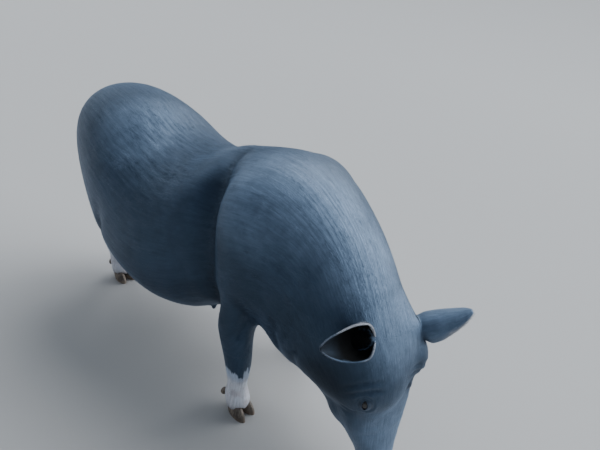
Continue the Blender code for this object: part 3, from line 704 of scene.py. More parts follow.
class Survey:
    """What every place of the skin is: where it lies, how pale or bare it is, and how its hair grows."""

    def __init__(self, points, normals):
        self.points = points
        self.normals = normals
        self.flow = course.measure(points)
        self.leg = legness(points)
        self.head = headness(points)
        self.local = measured(points, head_frame())
        self.find_ears()
        self.pale = self.rims_and_tip_highlight()
        self.plane = self.unrolled()
        self.bare = self.bare_skin()
        self.painted_shade = self.painted_shades()

    def find_ears(self):
        """Which ear a place is on, how far along and round its sheet, and whether it is inside."""
        self.ear = np.full(len(self.points), -1)
        self.ear_spot = np.zeros((len(self.points), 2))
        self.inside = np.zeros(len(self.points))
        for i, name in enumerate(EARS):
            spots, shares = ear_samples(name)
            close = np.flatnonzero(gap_to(self.local, EARS[name][0]) < 0.16)
            row, gap = nearest_rows(self.points[close], spots)
            here = gap < EAR_NEAR
            members = close[here]
            self.ear[members] = i
            self.ear_spot[members] = shares[row[here]]
            cup = np.array([ear_point(name, share, 0.0, CUP_MIDDLE) for share in shares[row[here], 0]])
            toward = cup - self.points[members]
            self.inside[members] = np.sum(toward * self.normals[members], axis=1) > 0
        self.on_ear = self.ear >= 0

    def rims_and_tip_highlight(self):
        """How pale the ears' edges are: broad along the right ear's upper edge, and narrow elsewhere, with a
        faint painted highlight near the right ear's tip.
        """
        share = self.ear_spot[:, 0]
        right = self.ear == 0
        edge = self.ear_spot[:, 1] * np.where(right, 1, -1)
        broad = ramp(edge, 0.56, 0.82) * ramp(-share, -0.88, -0.58)
        narrow = np.maximum(ramp(edge, 0.86, 0.97), ramp(-edge, 0.90, 0.98)) * ramp(-share, -0.50, -0.20)
        # Painted highlight: a faint pale patch near the right ear's tip
        tip = 0.20 * ramp(share, 0.70, 0.95)
        right_rim_and_highlight = np.max([broad, 0.7 * narrow, tip], axis=0)
        left_rim = np.maximum(ramp(edge, 0.78, 0.94) * ramp(share, 0.35, 0.65), 0.4 * narrow)
        return np.where(self.on_ear, np.where(right, right_rim_and_highlight, left_rim) * ramp(share, 0.10, 0.24), 0)

    def bare_skin(self):
        """The snout's disc, the lids, the lips and the teats."""
        x, z = self.local[:, 0], self.local[:, 2]
        disc = ramp(x, 0.262, 0.268)
        lids = [ramp(-gap_to(self.points, middle_of(name)), -0.0165, -0.0135) for name in EYES]
        line = np.array(MOUTH_LINE[::-1])
        off_line = np.abs(z - np.interp(x, line[:, 0], line[:, 1]))
        mouth = ramp(x, 0.13, 0.15) * ramp(-off_line, -0.007, -0.003)
        height = self.points[:, 2]
        teat = ramp(-height, -0.112, -0.107) * (height > 0.085) * (np.abs(self.points[:, 0] + 0.13) < 0.25)
        return np.max([disc, *lids, mouth, teat], axis=0)

    def painted_shades(self):
        """How far painted shade darkens each place: the ears' insides, the skin under the ears' cups, the
        cheeks and the shoulders' creases.
        """
        share = self.ear_spot[:, 0]
        around = np.abs(self.ear_spot[:, 1])
        depth = 0.75 + 0.25 * ramp(-share, -0.85, -0.55)
        # Painted shade inside the ears, deepest near the root
        found = [self.on_ear * self.inside * depth * ramp(-around, -0.97, -0.85)]
        # Painted shade on the head's skin under each ear's cup
        for name in EARS:
            for step in np.linspace(0.02, 0.34, 9):
                gap = gap_to(self.points, ear_point(name, step, 0.0, 0.013))
                found.append(~self.on_ear * ramp(-gap, -0.0185, -0.0160))
        # Painted shade on both cheeks and along both shoulders' creases
        for side in SIDES.values():
            gap = gap_to(self.local, (CHEEK[0], -side * CHEEK[1], CHEEK[2]))
            found.append(0.55 * ramp(-gap, -0.095, -0.030))
            for path, _, width, _ in TRUNK_FOLDS[:2]:
                gap, reach = distance_to(self.points, smooth_rows([placed(point, side) for point in path], 4))
                found.append(0.50 * ends(reach, 0.2) * bell(gap, 0.6 * width + 0.010))
        return np.max(found, axis=0)

    def unrolled(self):
        """Each place in metres on the skin laid flat: along the hair's run, and across it."""
        angle = np.arctan2(self.flow[:, 1], self.flow[:, 2])
        plane = np.stack([self.flow[:, 0], angle * np.where(self.head > 0.5, 0.10, 0.20)], axis=1)
        low = self.leg > 0.5
        plane[low, 0] = self.points[low, 2]
        plane[low, 1] = 0.03 * round_leg(self.points)[low]
        plane[self.on_ear] = self.ear_spot[self.on_ear] * (0.12, 0.04)
        return plane

    def marks(self):
        """Pale rims with a faint painted highlight, bare skin, leg and painted shade, as the four channels of
        a colour.
        """
        return np.stack([self.pale, self.bare, self.leg, self.painted_shade], axis=1)

    def lie(self):
        """The way the hair points, flat on the skin."""
        near = course.nearest(self.points)
        side = 1 - np.abs(self.normals[:, 2])
        down = np.array((0.0, 0.0, -1.0))
        way = -course.ahead[near] + down * (0.55 * side * (1 - self.head))[:, None]
        legs = np.array((-0.20, 0.0, -1.0))
        way = way * (1 - self.leg)[:, None] + legs * self.leg[:, None]
        for i, name in enumerate(EARS):
            way[self.ear == i] = head_frame().to_3x3() @ Vector(EARS[name][1]).normalized()
        return unit(flat_on(way, self.normals))


FIELDS = {"FLOAT_COLOR": "color", "FLOAT_VECTOR": "vector", "FLOAT": "value"}


def add_attribute(mesh, name, kind, values):
    layer = mesh.attributes.new(name, kind, "POINT")
    layer.data.foreach_set(FIELDS[kind], np.ascontiguousarray(values, np.float32).ravel())


survey = Survey(places(skin.data), facings(skin.data))
add_attribute(skin.data, "marks", "FLOAT_COLOR", survey.marks())
add_attribute(skin.data, "lie", "FLOAT_VECTOR", np.column_stack([survey.plane, np.zeros(len(survey.plane))]))


# Coat

def value_noise(places_on_plane, size, seed):
    """Smooth noise from 0 to 1 over a plane, in cells of the given length and width."""
    table = np.random.default_rng(seed).random((256, 256))
    scaled = places_on_plane / np.array(size)
    cell = np.floor(scaled).astype(int)
    share = scaled - cell
    share = share * share * (3 - 2 * share)
    found = 0
    for i in (0, 1):
        for j in (0, 1):
            weight = np.abs(1 - i - share[:, 0]) * np.abs(1 - j - share[:, 1])
            found = found + weight * table[(cell[:, 0] + i) % 256, (cell[:, 1] + j) % 256]
    return found


def strand(steps):
    """One hair of length 1 up z: a three-sided spike with rings to bend at."""
    bm = bmesh.new()
    bmesh.ops.create_cone(bm, cap_ends=True, segments=3, radius1=1.0, radius2=0.0, depth=1.0,
                          matrix=Matrix.Translation((0, 0, 0.5)))
    for i in range(1, steps):
        share = i / steps
        bmesh.ops.bisect_plane(bm, geom=bm.verts[:] + bm.edges[:] + bm.faces[:], plane_co=(0, 0, share),
                               plane_no=(0, 0, 1))
        ring = [vertex for vertex in bm.verts if abs(vertex.co.z - share) < 0.001]
        keep = (1 - share**2.2) / (1 - share)
        for vertex in ring:
            vertex.co.x *= keep
            vertex.co.y *= keep
    bmesh.ops.triangulate(bm, faces=bm.faces)
    bm.verts.ensure_lookup_table()
    spots = np.array([vertex.co for vertex in bm.verts])
    faces = np.array([[vertex.index for vertex in face.verts] for face in bm.faces])
    bm.free()
    return spots, faces


def hair_piece(name, steps, root, tip, normal, width, chart, tone, marks, satin):
    """Flat hairs as one mesh, each with its own small patch at its root's place on the unwrap."""
    spots, faces = strand(steps)
    count = len(root)
    run = tip - root
    rise = unit(run)
    side = unit(np.cross(normal, rise))
    front = np.cross(rise, side)
    share = spots[:, 2][None, :, None]
    outward = spots[:, 0][None, :, None] * side[:, None, :]
    outward = outward + HAIR_FLAT * spots[:, 1][None, :, None] * front[:, None, :]
    arch = HAIR_ARCH * share * (1 - share) * np.linalg.norm(run, axis=1)[:, None, None]
    made = root[:, None, :] + share * run[:, None, :] + arch * front[:, None, :]
    made = made + width[:, None, None] * outward
    mesh = bpy.data.meshes.new(name)
    mesh.vertices.add(count * len(spots))
    mesh.loops.add(count * faces.size)
    mesh.polygons.add(count * len(faces))
    mesh.vertices.foreach_set("co", made.astype(np.float32).ravel())
    corners = (faces[None] + np.arange(count)[:, None, None] * len(spots)).ravel()
    mesh.loops.foreach_set("vertex_index", corners.astype(np.int32))
    mesh.polygons.foreach_set("loop_start", np.arange(0, count * faces.size, 3, dtype=np.int32))
    mesh.polygons.foreach_set("use_smooth", np.ones(count * len(faces), bool))
    mesh.update(calc_edges=True)
    level = normal + satin[:, :1] * side + satin[:, 1:] * rise
    facing = level[:, None, :] + HAIR_ROUND * outward
    facing /= np.linalg.norm(facing, axis=2, keepdims=True)
    mesh.normals_split_custom_set_from_vertices(facing.reshape(-1, 3))
    patch = spots[:, [0, 2]] * PATCH
    unwrap = (chart[:, None, :] + patch[None])[:, faces.ravel(), :]
    mesh.uv_layers.new(name="OFBake").data.foreach_set("uv", unwrap.astype(np.float32).ravel())
    add_attribute(mesh, "tone", "FLOAT", np.repeat(tone, len(spots)))
    add_attribute(mesh, "marks", "FLOAT_COLOR", np.repeat(marks, len(spots), axis=0))
    return put_in_scene(name, mesh)


class Roots:
    """Seeded places for hairs over the skin, by its faces' areas."""

    def __init__(self, body, survey):
        mesh = body.data
        mesh.calc_loop_triangles()
        self.corners = np.empty(len(mesh.loop_triangles) * 3, np.int32)
        mesh.loop_triangles.foreach_get("vertices", self.corners)
        self.corners = self.corners.reshape(-1, 3)
        a, b, c = (survey.points[self.corners[:, i]] for i in range(3))
        self.area = np.linalg.norm(np.cross(b - a, c - a), axis=1) / 2
        self.survey = survey
        self.way = survey.lie()
        self.tree = tree_of(body)
        self.draw = np.random.default_rng(TUFT_SEED)

    def scatter(self, density):
        """Draws roots at a density per square centimetre, and gives what reads any value at them."""
        wanted = density[self.corners].mean(axis=1) * self.area * 1e4
        count = self.draw.poisson(wanted)
        face = np.repeat(np.arange(len(wanted)), count)
        u = self.draw.random((len(face), 2))
        u = np.where(u.sum(axis=1)[:, None] > 1, 1 - u, u)
        weights = np.stack([1 - u.sum(axis=1), u[:, 0], u[:, 1]], axis=1)
        corners = self.corners[face]
        return lambda values: np.einsum("ij,ij...->i...", weights, values[corners])

    def slices(self, density, count):
        """Lengths along the body that part the hairs of this density into equal shares."""
        along = self.survey.flow[:, 0][self.corners].mean(axis=1)
        wanted = density[self.corners].mean(axis=1) * self.area
        order = np.argsort(along)
        total = np.cumsum(wanted[order])
        return np.interp(np.arange(1, count) / count, total / total[-1], along[order])

    def laid(self, aims, proud):
        """Each aim brought to its height over the nearest skin."""
        tips = np.empty_like(aims)
        for i, aim in enumerate(aims):
            spot, facing, _, _ = self.tree.find_nearest(aim)
            tips[i] = spot + facing * proud[i]
        return tips

    def grow(self, name, density, length, width, chart, steps=1, lift=0.0, jitter=0.05):
        """A piece of hair, laid on the skin, or standing off it where there is a lift."""
        mixed = self.scatter(density)
        survey = self.survey
        root = mixed(survey.points)
        normal = unit(mixed(survey.normals))
        way = mixed(self.way)
        plane = mixed(survey.plane)
        long, wide = LOCK_SIZE
        lock = 0.65 * value_noise(plane, LOCK_SIZE, TUFT_SEED)
        lock += 0.35 * value_noise(plane, (long * 0.5, wide * 0.4), TUFT_SEED + 2)
        lean = value_noise(plane, (long * 0.8, wide * 1.3), TUFT_SEED + 1)
        swirl = 0.08 * np.sin(root @ np.array((41.0, 23.0, 31.0))) + 0.08 * (lean - 0.5)
        turn = (swirl + self.draw.normal(0, jitter, len(root)))[:, None]
        way = unit(flat_on(np.cos(turn) * way + np.sin(turn) * np.cross(normal, way), normal))
        size = mixed(length) * self.draw.uniform(0.65, 1.15, len(root))
        thick = width * self.draw.uniform(0.7, 1.2, len(root))
        stand = self.draw.uniform(0.3, 1.0, len(root))
        if lift:
            tip = root + size[:, None] * (way + lift * stand[:, None] * normal)
        else:
            tip = self.laid(root + size[:, None] * way, TIP_PROUD * stand)
        tone = np.clip(0.40 * self.draw.random(len(root)) + 0.75 * lock, 0, 1)
        satin = np.stack([HAIR_SATIN[0] * (lean - 0.5), HAIR_SATIN[1] * (lock - 0.5)], axis=1)
        marks = mixed(survey.marks())
        root = root - ROOT_SUNK * normal
        return hair_piece(name, steps, root, tip, normal, thick, chart(mixed), tone, marks, satin)


def sheet_place(column, row):
    """A place on the whole unwrap, from shares of its width and height."""
    return 0.02 + 0.95 * np.stack([column, row], axis=1)


def quarter_place(second, upper, column, row):
    """A place in one quarter of the unwrap."""
    return np.stack([second, upper], axis=1) * 0.5 + 0.01 + 0.47 * np.stack([column, row], axis=1)


def round_chart(start, end):
    """The skin rolled out round its middle line, between two lengths."""

    def chart(mixed):
        here = mixed(survey.flow)
        angle = np.arctan2(here[:, 1], here[:, 2]) / (2 * math.pi) + 0.5
        return sheet_place(np.clip((here[:, 0] - start) / (end - start), 0, 1), angle)

    return chart


def leg_chart(mixed):
    """Each leg rolled out in a quarter of its own."""
    here = mixed(survey.points)
    angle = round_leg(here) / (2 * math.pi) + 0.5
    return quarter_place(here[:, 0] > 0, here[:, 1] > 0, angle, np.clip(here[:, 2] / 0.24, 0, 1))


def ear_chart(mixed):
    """Each ear laid flat, its inside beside its outside."""
    spot = mixed(survey.ear_spot)
    left = mixed((survey.ear == 1).astype(float)) > 0.5
    return quarter_place(mixed(survey.inside) > 0.5, left, spot[:, 1] / 2 + 0.5, spot[:, 0])


def grow_coat():
    """The trunk's hair in six pieces, then the head's, the legs', the ears' and the longer bristles."""
    s = survey
    roots = Roots(skin, s)
    whole = course.reach[-1]
    along = s.flow[:, 0]
    trunk = (1 - s.leg) * (1 - s.head) * ~s.on_ear
    dorsal = ramp(s.normals[:, 2], 0.55, 0.95) * trunk
    belly = ramp(-s.normals[:, 2], 0.3, 0.8) * trunk
    cover = 1 - 0.97 * s.bare
    names = ("rump", "loin", "flank", "belly", "shoulder", "neck")
    density = TRUNK_DENSITY * trunk * cover * (1 - 0.5 * belly)
    length = 0.0110 + 0.002 * dorsal + 0.002 * belly
    cuts = [-1.0, *roots.slices(density, len(names)), 9.0]
    rows = []
    for name, low, high in zip(names, cuts, cuts[1:]):
        here = (along >= low) * (along < high)
        chart = round_chart(max(low, 0.0), min(high, whole))
        rows.append((name, here * density, length, TUFT_WIDTH, chart))
    density = s.head * ~s.on_ear * (1 - s.leg) * cover * HEAD_DENSITY
    length = 0.0085 - 0.0050 * ramp(s.local[:, 0], 0.02, 0.20)
    rows.append(("head", density, length, HEAD_WIDTH, round_chart(0.75, whole)))
    density = s.leg * ~s.on_ear * LEG_DENSITY * (s.points[:, 2] > 0.017)
    length = 0.0050 + 0.0060 * ramp(s.points[:, 2], 0.06, 0.20)
    rows.append(("legs", density, length, LEG_WIDTH, leg_chart))
    density = s.on_ear * (s.ear_spot[:, 0] > 0.05) * (26.0 - 18.0 * s.inside + 30.0 * s.pale)
    rows.append(("ears", density, 0.0050 + 0.0040 * s.pale, EAR_WIDTH, ear_chart, 1, 0.16))
    crest = dorsal * ramp(along, 0.25, 0.5) * ramp(-np.abs(s.flow[:, 1]), -0.06, -0.01)
    density = crest * 0.5 + 0.08 * trunk + 0.4 * belly
    chart = round_chart(0, whole)
    rows.append(("bristles", density, 0.018 + 0.006 * crest, BRISTLE_WIDTH, chart, 3, 0.12, 0.25))
    return [roots.grow("coat_" + name, *row) for name, *row in rows]


def tail_hair():
    """The brush at the end of the tail, and short hair down its length."""
    draw = np.random.default_rng(TUFT_SEED + 1)
    rows = smooth_rows(TAIL, 20)
    count = TAIL_HAIRS
    pick = draw.beta(2.4, 1.0, count)
    x, z, radius = (np.interp(pick, np.linspace(0, 1, len(rows)), rows[:, i]) for i in range(3))
    around = draw.uniform(0, 2 * math.pi, count)
    none = np.zeros(count)
    normal = np.stack([np.cos(around), np.sin(around), none], axis=1)
    centre = np.stack([x, none, z], axis=1) - np.array(ORIGIN)
    root = centre + normal * radius[:, None] * 0.92
    way = np.tile((0.0, 0.0, -1.0), (count, 1)) + normal * 0.10 * draw.random((count, 1))
    way = unit(flat_on(way, normal))
    length = 0.010 + 0.052 * ramp(pick, 0.78, 0.97) * draw.uniform(0.7, 1.0, count)
    tip = root + length[:, None] * (way + 0.06 * draw.random((count, 1)) * normal)
    chart = sheet_place(pick, around / (2 * math.pi))
    width = np.full(count, TAIL_WIDTH)
    tone = draw.random(count)
    marks = np.zeros((count, 4))
    satin = np.zeros((count, 2))
    return hair_piece("coat_tail", 4, root, tip, normal, width, chart, tone, marks, satin)


coat = grow_coat() + [tail_hair()]


# Eyes and claws

def make_eye(name):
    place = eye_place(name)
    bm = bmesh.new()
    bmesh.ops.create_uvsphere(bm, u_segments=64, v_segments=40, radius=1.0)
    gaze = []
    for vertex in bm.verts:
        bulge = 0.035 * float(ramp(np.array(vertex.co.z), 0.72, 0.92))
        gaze.append(vertex.co.z)
        vertex.co = vertex.co * (EYE_RADIUS * GLOBE_SHARE) * (1 + bulge)
    bmesh.ops.transform(bm, matrix=place, verts=bm.verts)
    eye = new_object("globe_" + name[4:], bm)
    add_attribute(eye.data, "gaze", "FLOAT", gaze)
    eye.data.shade_smooth()
    return eye


def make_claw(name, place, side, inner):
    """One half of the cloven hoof, with growth rings and a worn sole."""
    bm = bmesh.new()
    bmesh.ops.create_uvsphere(bm, u_segments=56, v_segments=44, radius=1.0)
    for vertex in bm.verts:
        x, y, z = vertex.co
        ring = 1 - 0.020 * (0.5 + 0.5 * math.sin(z * 34 + 0.8 * math.sin(3 * x))) * (z > 0.0)
        pinch = 1 - 0.10 * max(0, x) * (y * inner * side > 0)
        vertex.co = Vector((x * CLAW[0] * ring, y * CLAW[1] * ring * pinch, z * CLAW[2])) * CLAW_SHARE
        vertex.co.x -= vertex.co.z * CLAW_LEAN
        vertex.co.z += CLAW_RISE
    cut = bmesh.ops.bisect_plane(bm, geom=bm.verts[:] + bm.edges[:] + bm.faces[:], plane_co=(0, 0, 0),
                                 plane_no=(0, 0, -1), clear_outer=True)
    rim = [item for item in cut["geom_cut"] if isinstance(item, bmesh.types.BMEdge)]
    bmesh.ops.edgeloop_fill(bm, edges=rim)
    bmesh.ops.recalc_face_normals(bm, faces=bm.faces)
    x, y = place
    spot = Matrix.Translation(placed((x, y + inner * CLAW_APART, 0), side))
    bmesh.ops.transform(bm, matrix=spot @ turned((0, 0, -inner * side * CLAW_SPLAY)), verts=bm.verts)
    hoof = new_object(name, bm)
    hoof.data.shade_smooth()
    hoof.data.set_sharp_from_angle(angle=math.radians(50))
    return hoof


def make_dewclaw(name, place, side, inner):
    x, y = place
    back, apart, height = DEWCLAW_PLACE
    middle = placed((x + back, y + inner * apart, height), side)
    spot = Matrix.Translation(middle) @ turned((0, DEWCLAW_TILT, 0))
    spur = ball(name, spot, [size * DEWCLAW_SHARE for size in DEWCLAW], 32)
    spur.data.shade_smooth()
    return spur


eyes = [make_eye(name) for name in EYES]
horn = []
for side_name, side in SIDES.items():
    for kind, place in CLAW_PLACES.items():
        for inner, which in ((1, "inner"), (-1, "outer")):
            tag = f"{kind}_{side_name}_{which}"
            horn.append((make_claw("hoof_" + tag, place, side, inner), "claw_" + tag))
            horn.append((make_dewclaw("spur_" + tag, place, side, inner), "dewclaw_" + tag))


# Materials

class Wire:
    """A value on its way through a material."""

    def __init__(self, board, socket):
        self.board = board
        self.socket = socket

    def worked(self, operation, *others):
        return self.board.add("ShaderNodeMath", {"operation": operation}, [self, *others])

    def __add__(self, other):
        return self.worked("ADD", other)

    def __sub__(self, other):
        return self.worked("SUBTRACT", other)

    def __rsub__(self, other):
        return self.board.add("ShaderNodeMath", {"operation": "SUBTRACT"}, [other, self])

    def __mul__(self, other):
        return self.worked("MULTIPLY", other)

    def most(self, other):
        return self.worked("MAXIMUM", other)

    __radd__ = __add__
    __rmul__ = __mul__


class Board:
    """A material's nodes."""

    def __init__(self, name, **constants):
        self.material = bpy.data.materials.new(name)
        self.material.use_nodes = True
        self.tree = self.material.node_tree
        self.shader = self.tree.nodes["Principled BSDF"]
        for key, value in constants.items():
            self.shader.inputs[key.replace("_", " ").title().replace("Ior", "IOR")].default_value = value

    def add(self, kind, settings=None, inputs=(), output=0):
        node = self.tree.nodes.new(kind)
        for key, value in (settings or {}).items():
            setattr(node, key, value)
        for key, value in (inputs.items() if isinstance(inputs, dict) else enumerate(inputs)):
            if isinstance(value, Wire):
                self.tree.links.new(value.socket, node.inputs[key])
            else:
                node.inputs[key].default_value = value
        return Wire(self, node.outputs[output])

    def feed(self, name, wire):
        self.tree.links.new(wire.socket, self.shader.inputs[name])

    def blend(self, share, second):
        """A second shader, laid over the first where the share is high."""
        both = self.tree.nodes.new("ShaderNodeMixShader")
        self.tree.links.new(share.socket, both.inputs[0])
        self.tree.links.new(self.shader.outputs[0], both.inputs[1])
        self.tree.links.new(second.outputs[0], both.inputs[2])
        self.tree.links.new(both.outputs[0], self.tree.nodes["Material Output"].inputs["Surface"])

    def spot(self):
        return self.add("ShaderNodeTexCoord", output=3)

    def attribute(self, name, output=2):
        return self.add("ShaderNodeAttribute", {"attribute_name": name}, output=output)

    def parts(self, vector):
        node = self.add("ShaderNodeSeparateXYZ", inputs=[vector]).socket.node
        return [Wire(self, socket) for socket in node.outputs]

    def stretched(self, vector, scale):
        return self.add("ShaderNodeVectorMath", {"operation": "MULTIPLY"}, [vector, scale])

    def scaled(self, colour, amount):
        return self.add("ShaderNodeVectorMath", {"operation": "SCALE"}, {"Vector": colour, "Scale": amount})

    def noise(self, vector, scale=1.0, detail=2.0, rough=0.5):
        inputs = {"Vector": vector, "Scale": scale, "Detail": detail, "Roughness": rough}
        return self.add("ShaderNodeTexNoise", inputs=inputs)

    def ramp(self, value, start, end, low=0.0, high=1.0):
        settings = {"interpolation_type": "SMOOTHSTEP"}
        return self.add("ShaderNodeMapRange", settings, [value, start, end, low, high])

    def mix(self, share, first, second):
        return self.add("ShaderNodeMix", {"data_type": "RGBA"}, {0: share, 6: first, 7: second}, 2)

    def near(self, spot, patch):
        """High close to a patch's place, nothing beyond its reach."""
        place, reach, strength = patch
        gap = self.add("ShaderNodeVectorMath", {"operation": "DISTANCE"}, [spot, place], 1)
        return self.ramp(gap, reach, reach * 0.35, 0.0, strength)

    def bump(self, height, strength, distance, below=None):
        inputs = {"Strength": strength, "Distance": distance, "Height": height}
        if below is not None:
            inputs["Normal"] = below
        return self.add("ShaderNodeBump", inputs=inputs)


# Coat and skin
BLACK = (0.0045, 0.0065, 0.0115, 1)
SLATE = (0.0170, 0.0250, 0.0420, 1)
RUSTY = (0.0160, 0.0120, 0.0100, 1)
# Painted light: the slate blue that makes patches of the coat look more strongly lit
PAINTED_LIGHT_SLATE = (0.1000, 0.1340, 0.1880, 1)
BARE = (0.020, 0.018, 0.020, 1)
# Pale ear rims, also laid faintly as a painted highlight near the right ear's tip
RIM_AND_HIGHLIGHT = (0.420, 0.400, 0.400, 1)
# Painted shade: near black, for the ears' insides, the cheeks and the shoulders' creases
SHADE_BLACK = (0.0010, 0.0012, 0.0016, 1)
# Socks: white hair, the pink skin that shows through, cold white above and soil below
WHITE = (0.820, 0.820, 0.860, 1)
PINK = (0.420, 0.290, 0.270, 1)
COLD = (0.420, 0.500, 0.620, 1)
SOIL = (0.160, 0.120, 0.085, 1)
# Claws and eyes
HORN_DARK = (0.060, 0.045, 0.036, 1)
HORN_LIGHT = (0.230, 0.185, 0.145, 1)
IRIS_DARK = (0.010, 0.006, 0.004, 1)
IRIS_LIGHT = (0.030, 0.016, 0.009, 1)
PUPIL = (0.002, 0.002, 0.003, 1)
EYE_WHITE = (0.050, 0.034, 0.030, 1)

# The blue gloss of skin and hair alike
BLUE = (0.40, 0.65, 1.0, 1)
GLOSS = {"sheen_weight": 0.20, "sheen_roughness": 0.40, "sheen_tint": BLUE, "specular_tint": BLUE,
         "specular_ior_level": 1.0}
# Soft patches of painted light, where the coat is made slate blue as if more light fell there: place, reach
# and strength
PAINTED_LIGHT_PATCHES = (
    ((0.190, -0.110, 0.535), 0.160, 1.0),
    ((0.280, -0.080, 0.520), 0.140, 1.0),
    ((0.380, -0.060, 0.460), 0.120, 1.0),
    ((0.470, -0.060, 0.370), 0.110, 1.0),
    ((0.530, -0.070, 0.140), 0.120, 1.0),
    ((0.540, 0.050, 0.370), 0.110, 1.0),
    ((-0.230, -0.090, 0.510), 0.130, 0.7),
)


def paint_shade(board, share):
    """Painted shade: a near-black finish that gives back hardly any light, laid over the first where the
    share is high.
    """
    dark = board.tree.nodes.new("ShaderNodeBsdfPrincipled")
    dark.inputs["Base Color"].default_value = SHADE_BLACK
    dark.inputs["Roughness"].default_value = 0.8
    dark.inputs["Specular IOR Level"].default_value = 0.10
    board.blend(share, dark)


def markings(board):
    """The colour, with painted light in slate blue patches and painted shade in the ears, on the cheeks and
    in the shoulders' creases, alike on skin and hair; and how strong the painted shade is.
    """
    spot = board.spot()
    pale, bare, leg = board.parts(board.attribute("marks", 0))
    height = board.parts(spot)[2]
    broad = board.noise(spot, 7.0, 3.0)
    patchy = board.noise(spot, 38.0, 3.0, 0.6)
    colour = board.mix(board.ramp(broad * 0.6 + patchy * 0.4, 0.38, 0.62), BLACK, SLATE)
    colour = board.mix(board.ramp(patchy, 0.55, 0.75, 0.0, 0.35), colour, RUSTY)
    tongues = board.noise(board.stretched(spot, (85.0, 85.0, 12.0)))
    edge = height + (patchy - 0.5) * 0.020 + (tongues - 0.5) * 0.085
    sock = board.ramp(edge, SOCK_HEIGHT + 0.005, SOCK_HEIGHT - 0.005) * board.ramp(leg, 0.5, 0.9)
    white = board.mix(board.ramp(patchy, 0.40, 0.70, 0.0, 0.45), WHITE, PINK)
    white = board.mix(board.ramp(height + (tongues - 0.5) * 0.03, 0.085, 0.115, 0.0, 0.85), white, COLD)
    dirty = board.ramp(height + (patchy - 0.5) * 0.03, 0.050, 0.010, 0.08, 0.70)
    white = board.mix(dirty, white, SOIL)
    colour = board.mix(sock, colour, white)
    # Painted light: slate blue patches over the shoulders, neck, face, left ear and rump
    painted_light = board.near(spot, PAINTED_LIGHT_PATCHES[0])
    for patch in PAINTED_LIGHT_PATCHES[1:]:
        painted_light = painted_light.most(board.near(spot, patch))
    colour = board.mix(painted_light * board.ramp(patchy, 0.25, 0.65, 0.65, 1.0) * (1 - sock), colour, PAINTED_LIGHT_SLATE)
    colour = board.mix(bare * 0.9, colour, BARE)
    # Pale ear rims, with a faint painted highlight near the right ear's tip
    colour = board.mix(pale * 0.85, colour, RIM_AND_HIGHLIGHT)
    # Painted shade: the coat blackened in the ears, on the cheeks and in the shoulders' creases
    painted_shade = board.attribute("marks", 3)
    colour = board.mix(painted_shade, colour, SHADE_BLACK)
    return colour, painted_shade


def hide():
    board = Board("black_hide", **GLOSS)
    colour, painted_shade = markings(board)
    spot = board.spot()
    lie = board.attribute("lie", 1)
    clumps = board.noise(board.stretched(lie, (22.0, 170.0, 1.0)))
    fine = board.noise(board.stretched(lie, (60.0, 800.0, 1.0)), rough=0.6)
    fur = clumps * 0.55 + fine * 0.45
    board.feed("Base Color", board.scaled(colour, board.ramp(fur, 0.35, 0.70, 0.8, 1.3)))
    board.feed("Roughness", board.ramp(fur, 0.25, 0.75, 0.56, 0.42))
    cells = {"Vector": spot, "Scale": 420.0}
    pores = board.add("ShaderNodeTexVoronoi", {"feature": "DISTANCE_TO_EDGE"}, cells)
    creases = board.noise(spot, 120.0, 4.0, 0.62)
    skin_height = board.bump(board.ramp(pores, 0.0, 0.25) * 0.2 + creases, 0.25, 0.0005)
    board.feed("Normal", board.bump(fur, 0.8, 0.0009, skin_height))
    # Painted shade, laid over as a near-black finish
    paint_shade(board, painted_shade)
    return board.material


def fur():
    board = Board("short_hair", **GLOSS)
    colour, painted_shade = markings(board)
    tone = board.attribute("tone")
    board.feed("Base Color", board.scaled(colour, tone * 0.5 + 0.8))
    board.feed("Roughness", board.ramp(tone, 0.0, 1.0, 0.54, 0.44))
    # Painted shade, laid over as a near-black finish
    paint_shade(board, painted_shade)
    return board.material


def horn_finish():
    board = Board("claw_horn", specular_ior_level=0.4, coat_weight=0.12, coat_roughness=0.35)
    spot = board.spot()
    grain = board.noise(board.stretched(spot, (260.0, 260.0, 40.0)), 1.0, 3.0, 0.6)
    blotch = board.noise(spot, 60.0, 3.0)
    colour = board.mix(board.ramp(grain * 0.5 + blotch * 0.5, 0.38, 0.62), HORN_DARK, HORN_LIGHT)
    height = board.parts(spot)[2]
    colour = board.mix(board.ramp(height + blotch * 0.01, 0.018, 0.002, 0.0, 0.7), colour, SOIL)
    board.feed("Base Color", colour)
    board.feed("Roughness", board.ramp(blotch, 0.3, 0.7, 0.40, 0.65))
    rings = board.noise(board.stretched(spot, (30.0, 30.0, 520.0)))
    board.feed("Normal", board.bump(grain * 0.4 + rings * 0.6, 0.5, 0.0006))
    return board.material


def eye_finish():
    """From the middle out: pupil, iris and the white, which is dark here."""
    board = Board("wet_eye", roughness=0.20, coat_weight=0.5, coat_roughness=0.02, specular_ior_level=0.35)
    gaze = board.attribute("gaze")
    rays = board.noise(board.stretched(board.spot(), (900.0, 900.0, 900.0)))
    colour = board.mix(board.ramp(gaze, 0.90, 0.93), board.mix(rays, IRIS_DARK, IRIS_LIGHT), PUPIL)
    board.feed("Base Color", board.mix(board.ramp(gaze, 0.62, 0.52), colour, EYE_WHITE))
    return board.material


def finish_piece(obj, material, nodes=()):
    obj.data.materials.clear()
    obj.data.materials.append(material)
    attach(obj, "root")
    if nodes:
        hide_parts(*nodes)


FLESH_NODES = [name for name in frame["nodes"] if "claw" not in name and "eye" not in name]
skin.data.shade_smooth()
finish_piece(skin, hide(), FLESH_NODES)
hair = fur()
for piece in coat:
    finish_piece(piece, hair)
wet = eye_finish()
for eye, name in zip(eyes, EYES):
    finish_piece(eye, wet, [name])
claws = horn_finish()
for piece, node in horn:
    finish_piece(piece, claws, [node])


# Stage: floor, light and camera

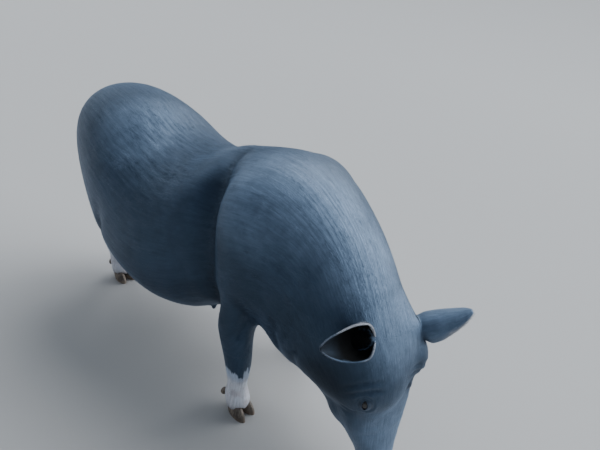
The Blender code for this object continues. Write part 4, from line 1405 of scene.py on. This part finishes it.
# Each light: the way it comes from, its width in degrees, and its strength
LIGHTS = {
    "front_light": ((0.68, 0.68, 0.26), 60, 4.4),
    "left_light": ((0.0, 0.71, 0.71), 60, 3.7),
    "rear_light": ((-0.71, 0.0, 0.71), 60, 0.9),
}
LIGHT_COLOUR = (0.90, 0.95, 1.0)
SKY_COLOUR = (0.62, 0.78, 1.0, 1)
SKY_STRENGTH = 0.28
FLOOR_COLOUR = (0.42, 0.41, 0.40, 1)
FLOOR_LEVEL = 5.0
FLOOR_RISE = 0.007


def floor():
    """A wide pale floor that rises gently far off, so that it fills the picture."""
    bm = bmesh.new()
    bmesh.ops.create_grid(bm, x_segments=80, y_segments=80, size=30)
    for vertex in bm.verts:
        far = max(0.0, math.hypot(vertex.co.x, vertex.co.y) - FLOOR_LEVEL)
        vertex.co.z = FLOOR_RISE * far * far
    ground = new_object("floor", bm)
    ground.data.shade_smooth()
    board = Board("pale_floor", roughness=0.90, base_color=FLOOR_COLOUR)
    ground.data.materials.append(board.material)


def soft_light(name, source, spread, strength):
    """A broad, even light from a direction."""
    data = bpy.data.lights.new(name, "SUN")
    data.angle = math.radians(spread)
    data.energy = strength
    data.color = LIGHT_COLOUR
    lamp = put_in_scene(name, data)
    lamp.rotation_mode = "QUATERNION"
    lamp.rotation_quaternion = Vector(source).to_track_quat("Z", "Y")


def camera():
    yaw, pitch, roll = (math.radians(angle) for angle in (CAMERA_YAW, CAMERA_PITCH, CAMERA_ROLL))
    ahead = Vector((math.cos(yaw) * math.cos(pitch), math.sin(yaw) * math.cos(pitch), -math.sin(pitch)))
    right = Vector((math.sin(yaw), -math.cos(yaw), 0))
    up = right.cross(ahead)
    turned_right = math.cos(roll) * right + math.sin(roll) * up
    turned_up = math.cos(roll) * up - math.sin(roll) * right
    data = bpy.data.cameras.new("camera")
    data.lens = CAMERA_LENS
    data.sensor_width = 36.0
    data.clip_start = 0.01
    matrix = Matrix((turned_right, turned_up, -ahead)).transposed().to_4x4()
    matrix.translation = Vector(CAMERA_PLACE)
    viewer = put_in_scene("camera", data)
    viewer.matrix_world = matrix
    bpy.context.scene.camera = viewer


def world():
    sky = bpy.data.worlds.new("studio")
    sky.use_nodes = True
    back = sky.node_tree.nodes["Background"]
    back.inputs["Color"].default_value = SKY_COLOUR
    back.inputs["Strength"].default_value = SKY_STRENGTH
    bpy.context.scene.world = sky


floor()
for name, (source, spread, strength) in LIGHTS.items():
    soft_light(name, source, spread, strength)
world()
camera()
